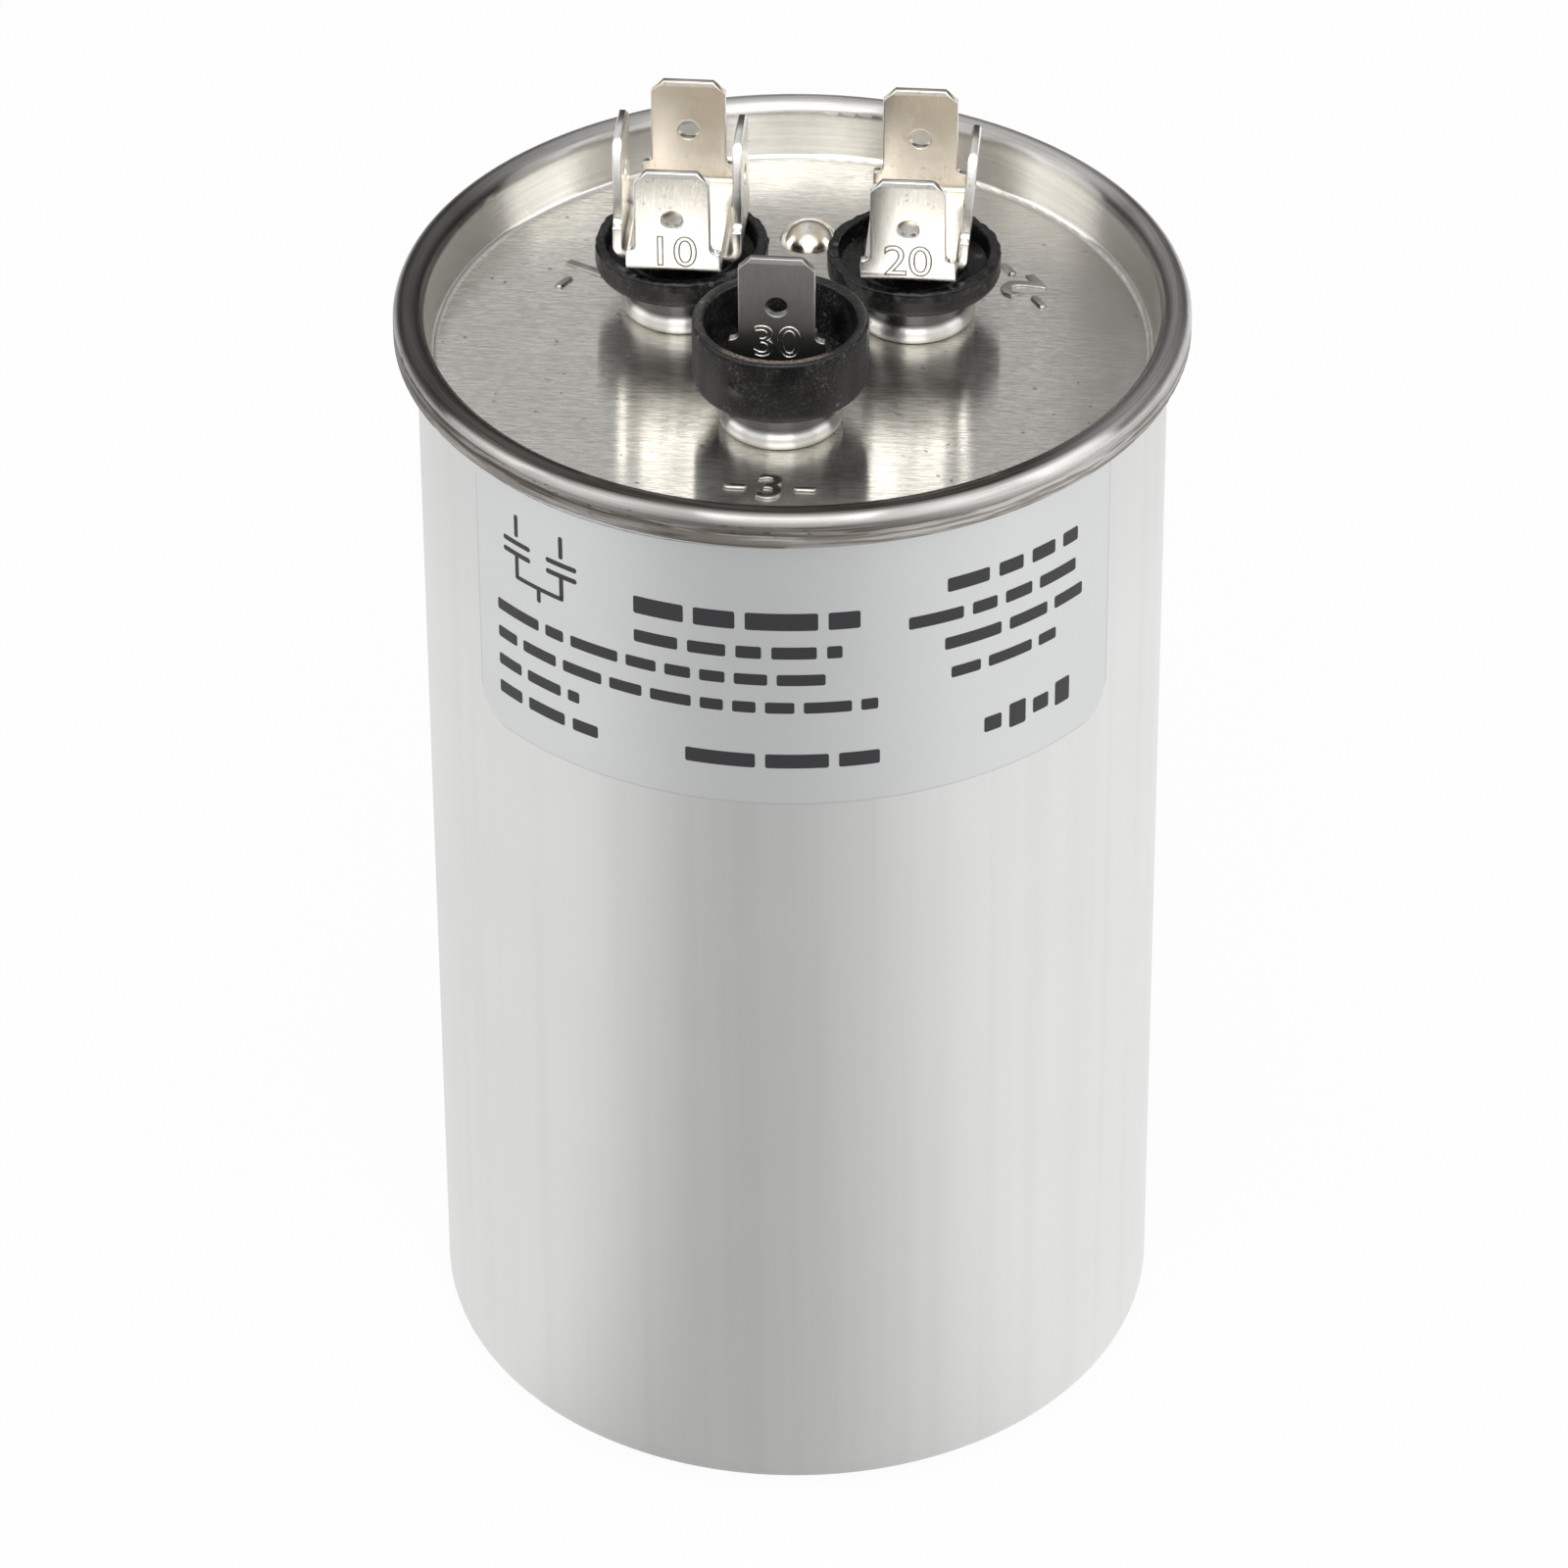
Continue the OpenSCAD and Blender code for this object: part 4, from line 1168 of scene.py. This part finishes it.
class CupLooks(bpy.types.PropertyGroup):
    body: tint("Body", "Colour of the moulded cups", (0.004, 0.004, 0.0045))
    bloom: tint("Bloom", "Colour of the dulled patches", (0.009, 0.009, 0.0095))
    dust: tint("Dust", "Colour of the dust", (0.32, 0.31, 0.295))
    rubbed: tint("Rubbed rim", "Brown of the rubbed rim at the front of the tall cup", (0.36, 0.26, 0.19))
    roughness: factor("Roughness", "How soft the cups' reflections are", 0.35)
    cup_diameter: length("Cup diameter", "Outside diameter of the cups", 0.0147)
    cup_wall: length("Cup wall", "Thickness of the cups' walls", 0.001)
    ragged: length("Ragged rim", "How uneven the rims of the two rear cups are", 0.00014)
    nub_rise: length("Nub rise", "How far the moulding nub stands out on the tall cup", 0.0003)


class LabelLooks(bpy.types.PropertyGroup):
    width: length("Width", "Width of the film round the can", 0.062)
    corner_radius: length("Corner radius", "Radius of the film's lower corners", 0.0035)
    upper_corner: length("Upper corner", "Radius of the film's upper corners", 0.0014)
    left_rise: length("Left rise", "How far the film's upper edge is raised at the left", 0.0002)
    right_rise: length("Right rise", "How far the film's upper edge is raised at the right", 0.0016)
    film_colour: tint("Film colour", "Colour of the film", (0.71, 0.722, 0.718))
    film_roughness: factor("Film roughness", "How soft the film's reflections are", 0.37)
    ink_colour: tint("Ink colour", "Colour of the print", (0.016, 0.016, 0.018))
    ink_lift: length("Ink lift", "Thickness of the print on the film", 0.000008)
    block_corner: length("Block corner", "Radius of the printed blocks' corners", 0.0002)
    print_seed: bpy.props.IntProperty(name="Print seed", default=7,
                                      description="Picks the lengths of the printed blocks")


class StageLooks(bpy.types.PropertyGroup):
    floor_size: length("Floor radius", "Radius of the pale floor", 4.0)
    floor_colour: tint("Floor colour", "Colour of the floor under lamp light", (0.86, 0.86, 0.86))
    floor_glow: factor("Floor white", "Share of the floor's white that shadows don't reach", 0.95)
    front_shade: factor("Front shade", "Level of the floor in front, as metal sees it", 0.5)
    world_level: factor("World level", "Level of the even light from all round", 0.62)
    horizon_level: factor("Horizon level", "Level of the dim room behind the part, as metal sees it", 0.1)
    back_level: factor("Back level", "Level high up behind the part, as metal sees it", 0.72)
    front_level: level("Front level", "Level in front, as metal sees it", 1.5)
    key_power: level("Key power", "Power of the lamp above the camera", 4.0, "POWER")
    side_power: level("Side power", "Power of the lamp at each side", 1.6, "POWER")


SETTINGS = {"capacitor_can": CanLooks, "capacitor_lid": LidLooks, "capacitor_marks": MarkLooks,
            "capacitor_tabs": TabLooks, "capacitor_cups": CupLooks, "capacitor_label": LabelLooks,
            "capacitor_stage": StageLooks}


# Operators


class FinishCan(bpy.types.Operator):
    """Give the can its satin aluminium"""

    bl_idname = "capacitor.can"
    bl_label = "Can"

    def execute(self, context):
        dress("can", can_finish(context.scene.capacitor_can))
        return {"FINISHED"}


class FinishLid(bpy.types.Operator):
    """Give the lid its tinplate and stamp the terminals' numerals into it"""

    bl_idname = "capacitor.lid"
    bl_label = "Lid and stamped numerals"

    def execute(self, context):
        looks = context.scene.capacitor_lid
        dress("lid", lid_finish(looks))
        marked = dull_metal_finish("stamped_tinplate", looks.scratch_colour, 0.3)
        for number, name in enumerate(TERMINALS, 1):
            mesh = lid_mark_mesh(str(number), CENTRES[name], context.scene.capacitor_marks)
            place_piece(f"{name}_lid_mark", mesh, marked)
        tones = ((0.03, 0.025, 0.02), (0.09, 0.075, 0.06))
        sealant = uneven_finish("seam_compound_dark", 0.0, noise=(2.0, 3.0), tones=tones, rough=(0.6, 0.25),
                                depth=0.05)
        dress("seam_compound", sealant)
        return {"FINISHED"}


class FinishTabs(bpy.types.Operator):
    """Give the push-on tabs their plating and stamp numerals on the front blades"""

    bl_idname = "capacitor.tabs"
    bl_label = "Tabs"

    def execute(self, context):
        looks = context.scene.capacitor_tabs
        marks = context.scene.capacitor_marks
        bright = tab_finish(looks, "tab_plating", looks.roughness)
        # The fan tab: rougher, and painted darker with shade
        dull = tab_finish(looks, "tab_plating_dull_and_shaded", looks.fan_roughness, looks.fan_shade)
        tones = (looks.speck, toned(looks.speck, 0.5))
        stamped = uneven_finish("stamped_line", 1.0, noise=(3.0, 3.0), tones=tones, rough=(0.38, 0.15))
        for name, bracket in BRACKETS.items():
            material = dull if bracket.terminal == "fan" else bright
            place_piece(name, bracket_mesh(name, looks), material, (bracket.node,))
            dress(bracket.node, material)
        for number, name in ((1, "common"), (2, "compressor")):
            bracket = BRACKETS[f"{name}_long_blades"]
            lean = math.radians(bracket.lean)
            out = BEND_REACH + BEND_OUT_R * math.cos(lean) + MARK_UP * math.sin(lean)
            up = bracket.lift + BEND_OUT_R + MARK_UP * math.cos(lean) - BEND_OUT_R * math.sin(lean)
            mesh = blade_mark_mesh(f"{number}0", CENTRES[name], out, up, lean, marks)
            place_piece(f"{name}_blade_mark", mesh, stamped)
        mesh = blade_mark_mesh("30", CENTRES["fan"], FAN_MARK_OUT, FAN_MARK_UP, 0.0, marks)
        place_piece("fan_blade_mark", mesh, bright)
        return {"FINISHED"}


class FinishCups(bpy.types.Operator):
    """Mould the three insulating cups and finish their washers"""

    bl_idname = "capacitor.cups"
    bl_label = "Insulating cups"

    def execute(self, context):
        looks = context.scene.capacitor_cups
        plain = cup_finish(looks, "cup_black")
        fan_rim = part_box("fan_bushing")[1].z / MM
        rubbed = cup_finish(looks, "cup_black_rubbed", fan_rim)
        rear_rim = SEAT_Z - 0.1
        for name, rim, material, ragged in (("common", rear_rim, plain, looks.ragged),
                                            ("compressor", rear_rim, plain, looks.ragged),
                                            ("fan", fan_rim, rubbed, looks.ragged * 0.3)):
            nub = looks.nub_rise / MM if name == "fan" else 0.0
            mesh = cup_mesh(name, rim, ragged / MM, nub, looks)
            place_piece(f"{name}_cup", mesh, material, (f"{name}_bushing",))
            dress(f"{name}_bushing", plain)
            dress(f"{name}_washer", plain)
        return {"FINISHED"}


class FinishRivets(bpy.types.Operator):
    """Give the terminal rivets and the fill plug their metal"""

    bl_idname = "capacitor.rivets"
    bl_label = "Rivets and fill plug"

    def execute(self, context):
        rivet = dull_metal_finish("rivet_plated", (0.7, 0.67, 0.62), 0.3)
        for name in TERMINALS:
            dress(f"{name}_rivet", rivet)
        dress("fill_plug", plug_finish(context.scene.capacitor_tabs))
        return {"FINISHED"}


class MakeLabel(bpy.types.Operator):
    """Wrap the printed film round the can"""

    bl_idname = "capacitor.label"
    bl_label = "Label film and print"

    def execute(self, context):
        looks = context.scene.capacitor_label
        film = label_finish(looks)
        dress("label", film)
        place_piece("label_film", label_film_mesh(looks), film, ("label",))
        tones = (looks.ink_colour, toned(looks.ink_colour, 1.7))
        ink = uneven_finish("label_ink", 0.0, noise=(6.0, 3.0, 0.6), tones=tones, rough=(0.5, 0.14))
        place_piece("label_print", printed_mesh(looks, ink), ink)
        return {"FINISHED"}


class FinishInside(bpy.types.Operator):
    """Give the pieces sealed in the can their finishes"""

    bl_idname = "capacitor.inside"
    bl_label = "Sealed pieces"

    def execute(self, context):
        film = wound_film_finish()
        paper = fibre_finish("kraft_paper", (0.5, 0.37, 0.22), (0.3, 0.2, 0.11))
        board = fibre_finish("pressed_board", (0.78, 0.75, 0.66), (0.6, 0.54, 0.42))
        sprayed = dull_metal_finish("sprayed_zinc", (0.5, 0.51, 0.52), 0.55)
        lead = dull_metal_finish("tinned_copper", (0.72, 0.5, 0.36), 0.35)
        for nodes, material in ((("fan_winding", "compressor_winding"), film),
                                (("core_tube", "section_sleeve", "winding_wrap"), paper),
                                (("bottom_pad", "top_disc"), board),
                                (("bottom_contact", "fan_contact", "compressor_contact"), sprayed),
                                (("common_lead", "compressor_lead", "fan_lead"), lead)):
            for node in nodes:
                dress(node, material)
        return {"FINISHED"}


def floor_finish(looks):
    """Pale floor that shows white, keeps the shadow and is darker in front where metal mirrors it."""
    material = bpy.data.materials.new("studio_floor")
    material.use_nodes = True
    material.cycles.emission_sampling = "NONE"
    net = Net(material.node_tree)
    net.tree.nodes.remove(net.tree.nodes["Principled BSDF"])
    path = net.add("ShaderNodeLightPath").outputs
    direct = path["Is Camera Ray"]
    mirrored = net.most(path["Is Glossy Ray"], path["Is Transmission Ray"])
    place = net.add("ShaderNodeTexCoord").outputs["Object"]
    x, y, _ = net.split(net.vector("NORMALIZE", net.vector("MULTIPLY", place, (1.0, 1.0, 0.0))))
    turn = net.math("ARCTAN2", x, net.times(y, -1.0))
    shade = net.most(net.step(turn, -0.1, 1.2, looks.front_shade, 1.0),
                     net.step(turn, -0.25, -1.05, looks.front_shade, 1.0))
    strength = net.most(net.times(shade, net.step(x, -0.2, -0.9, 1.0, 0.9)), direct)
    glow = net.add("ShaderNodeEmission", {"Color": WHITE, "Strength": strength}).outputs[0]
    lit = net.add("ShaderNodeBsdfDiffuse", {"Color": looks.floor_colour}).outputs[0]
    share = net.times(net.most(direct, mirrored), looks.floor_glow)
    top = net.add("ShaderNodeMixShader", {0: share, 1: lit, 2: glow}).outputs[0]
    under = net.add("ShaderNodeBsdfTransparent").outputs[0]
    back = net.add("ShaderNodeNewGeometry").outputs["Backfacing"]
    both = net.add("ShaderNodeMixShader", {0: back, 1: top, 2: under}).outputs[0]
    net.feed(net.tree.nodes["Material Output"].inputs["Surface"], both)
    return material


def studio_world(looks):
    """Even light all round; metal sees a dim room behind the part and a bright one in front."""
    world = bpy.data.worlds.new("studio")
    world.use_nodes = True
    net = Net(world.node_tree)
    path = net.add("ShaderNodeLightPath").outputs
    mirrored = net.most(path["Is Glossy Ray"], path["Is Transmission Ray"])
    x, y, z = net.split(net.add("ShaderNodeTexCoord").outputs["Generated"])
    behind = net.region((z, 0.25, 0.7, looks.horizon_level, looks.back_level), (x, -0.13, 0.0, 1.0, 0.85))
    ahead = net.step(z, 0.0, 0.35, 0.6, looks.front_level)
    level_way = net.vector("NORMALIZE", net.join(x, y, 0.0))
    turned = net.step(net.vector("DOT_PRODUCT", level_way, (0.0, -1.0, 0.0)), 0.0, 0.6)
    shown = net.plus(behind, net.times(turned, net.minus(ahead, behind)))
    change = net.times(mirrored, net.minus(shown, looks.world_level))
    strength = net.most(net.plus(looks.world_level, change), path["Is Camera Ray"])
    background = world.node_tree.nodes["Background"]
    net.feed(background.inputs["Color"], WHITE)
    net.feed(background.inputs["Strength"], strength)
    return world


# Studio, in metres; each lamp by its place, width and height
FLOOR_DROP = 0.0002
FLOOR_SIDES = 96
LAMP_AIM = Vector((0.0, 0.0, 0.08))
KEY_LAMP = ((0.05, -0.75, 0.95), 0.8, 0.7)
LEFT_LAMP = ((-0.9, -0.05, 0.5), 0.5, 0.7)
RIGHT_LAMP = ((0.9, -0.05, 0.5), 0.5, 0.7)

# Camera, in metres, degrees and millimetres of film
CAMERA_PLACE = (0.0506051, -0.5784186, 0.4724873)
CAMERA_TURN = (54.22366, 0.27928, 4.8909)
CAMERA_NEAR = 0.01
FOCAL_LENGTH = 187.096
FILM_WIDTH = 36.0


def soft_lamp(name, place, width, height, power):
    """Area lamp that faces the part."""
    light = settled(bpy.data.lights.new(name, "AREA"), shape="RECTANGLE", size=width, size_y=height,
                    energy=power)
    turn = (LAMP_AIM - Vector(place)).to_track_quat("-Z", "Y").to_euler()
    settled(linked(name, light), location=place, rotation_euler=turn)


class SetStage(bpy.types.Operator):
    """Set up the pale floor, the soft lamps and the camera"""

    bl_idname = "capacitor.stage"
    bl_label = "Studio"

    def execute(self, context):
        looks = context.scene.capacitor_stage

        def build(draft):
            bmesh.ops.create_circle(draft, cap_ends=True, segments=FLOOR_SIDES, radius=looks.floor_size)

        mesh = made_mesh(build, "floor")
        mesh.transform(Matrix.Translation((0.0, 0.0, -FLOOR_DROP)))
        mesh.materials.append(floor_finish(looks))
        linked("floor", mesh)

        context.scene.world = studio_world(looks)
        soft_lamp("key_lamp", *KEY_LAMP, looks.key_power)
        soft_lamp("left_lamp", *LEFT_LAMP, looks.side_power)
        soft_lamp("right_lamp", *RIGHT_LAMP, looks.side_power)

        lens = settled(bpy.data.cameras.new("camera"), lens=FOCAL_LENGTH, sensor_width=FILM_WIDTH,
                       clip_start=CAMERA_NEAR)
        turns = [math.radians(turn) for turn in CAMERA_TURN]
        context.scene.camera = settled(linked("camera", lens), location=CAMERA_PLACE, rotation_euler=turns)
        context.scene.view_settings.view_transform = "Standard"
        return {"FINISHED"}


class CapacitorPanel(bpy.types.Panel):
    """Lists the steps and their sizes and colours"""

    bl_idname = "VIEW3D_PT_capacitor"
    bl_label = "Run Capacitor"
    bl_space_type = "VIEW_3D"
    bl_region_type = "UI"
    bl_category = "Capacitor"

    def draw(self, context):
        for step in STEPS:
            self.layout.operator(step.bl_idname)
        for holder, kind in SETTINGS.items():
            box = self.layout.box()
            for name in kind.__annotations__:
                box.prop(getattr(context.scene, holder), name)


STEPS = (FinishCan, FinishLid, FinishTabs, FinishCups, FinishRivets, MakeLabel, FinishInside, SetStage)
CLASSES = (*SETTINGS.values(), *STEPS, CapacitorPanel)


def register():
    for kind in CLASSES:
        bpy.utils.register_class(kind)
    for holder, kind in SETTINGS.items():
        setattr(bpy.types.Scene, holder, bpy.props.PointerProperty(type=kind))


def unregister():
    for holder in SETTINGS:
        delattr(bpy.types.Scene, holder)
    for kind in reversed(CLASSES):
        bpy.utils.unregister_class(kind)


def main():
    register()
    for step in STEPS:
        area, name = step.bl_idname.split(".")
        getattr(getattr(bpy.ops, area), name)()


if __name__ == "__main__":
    main()
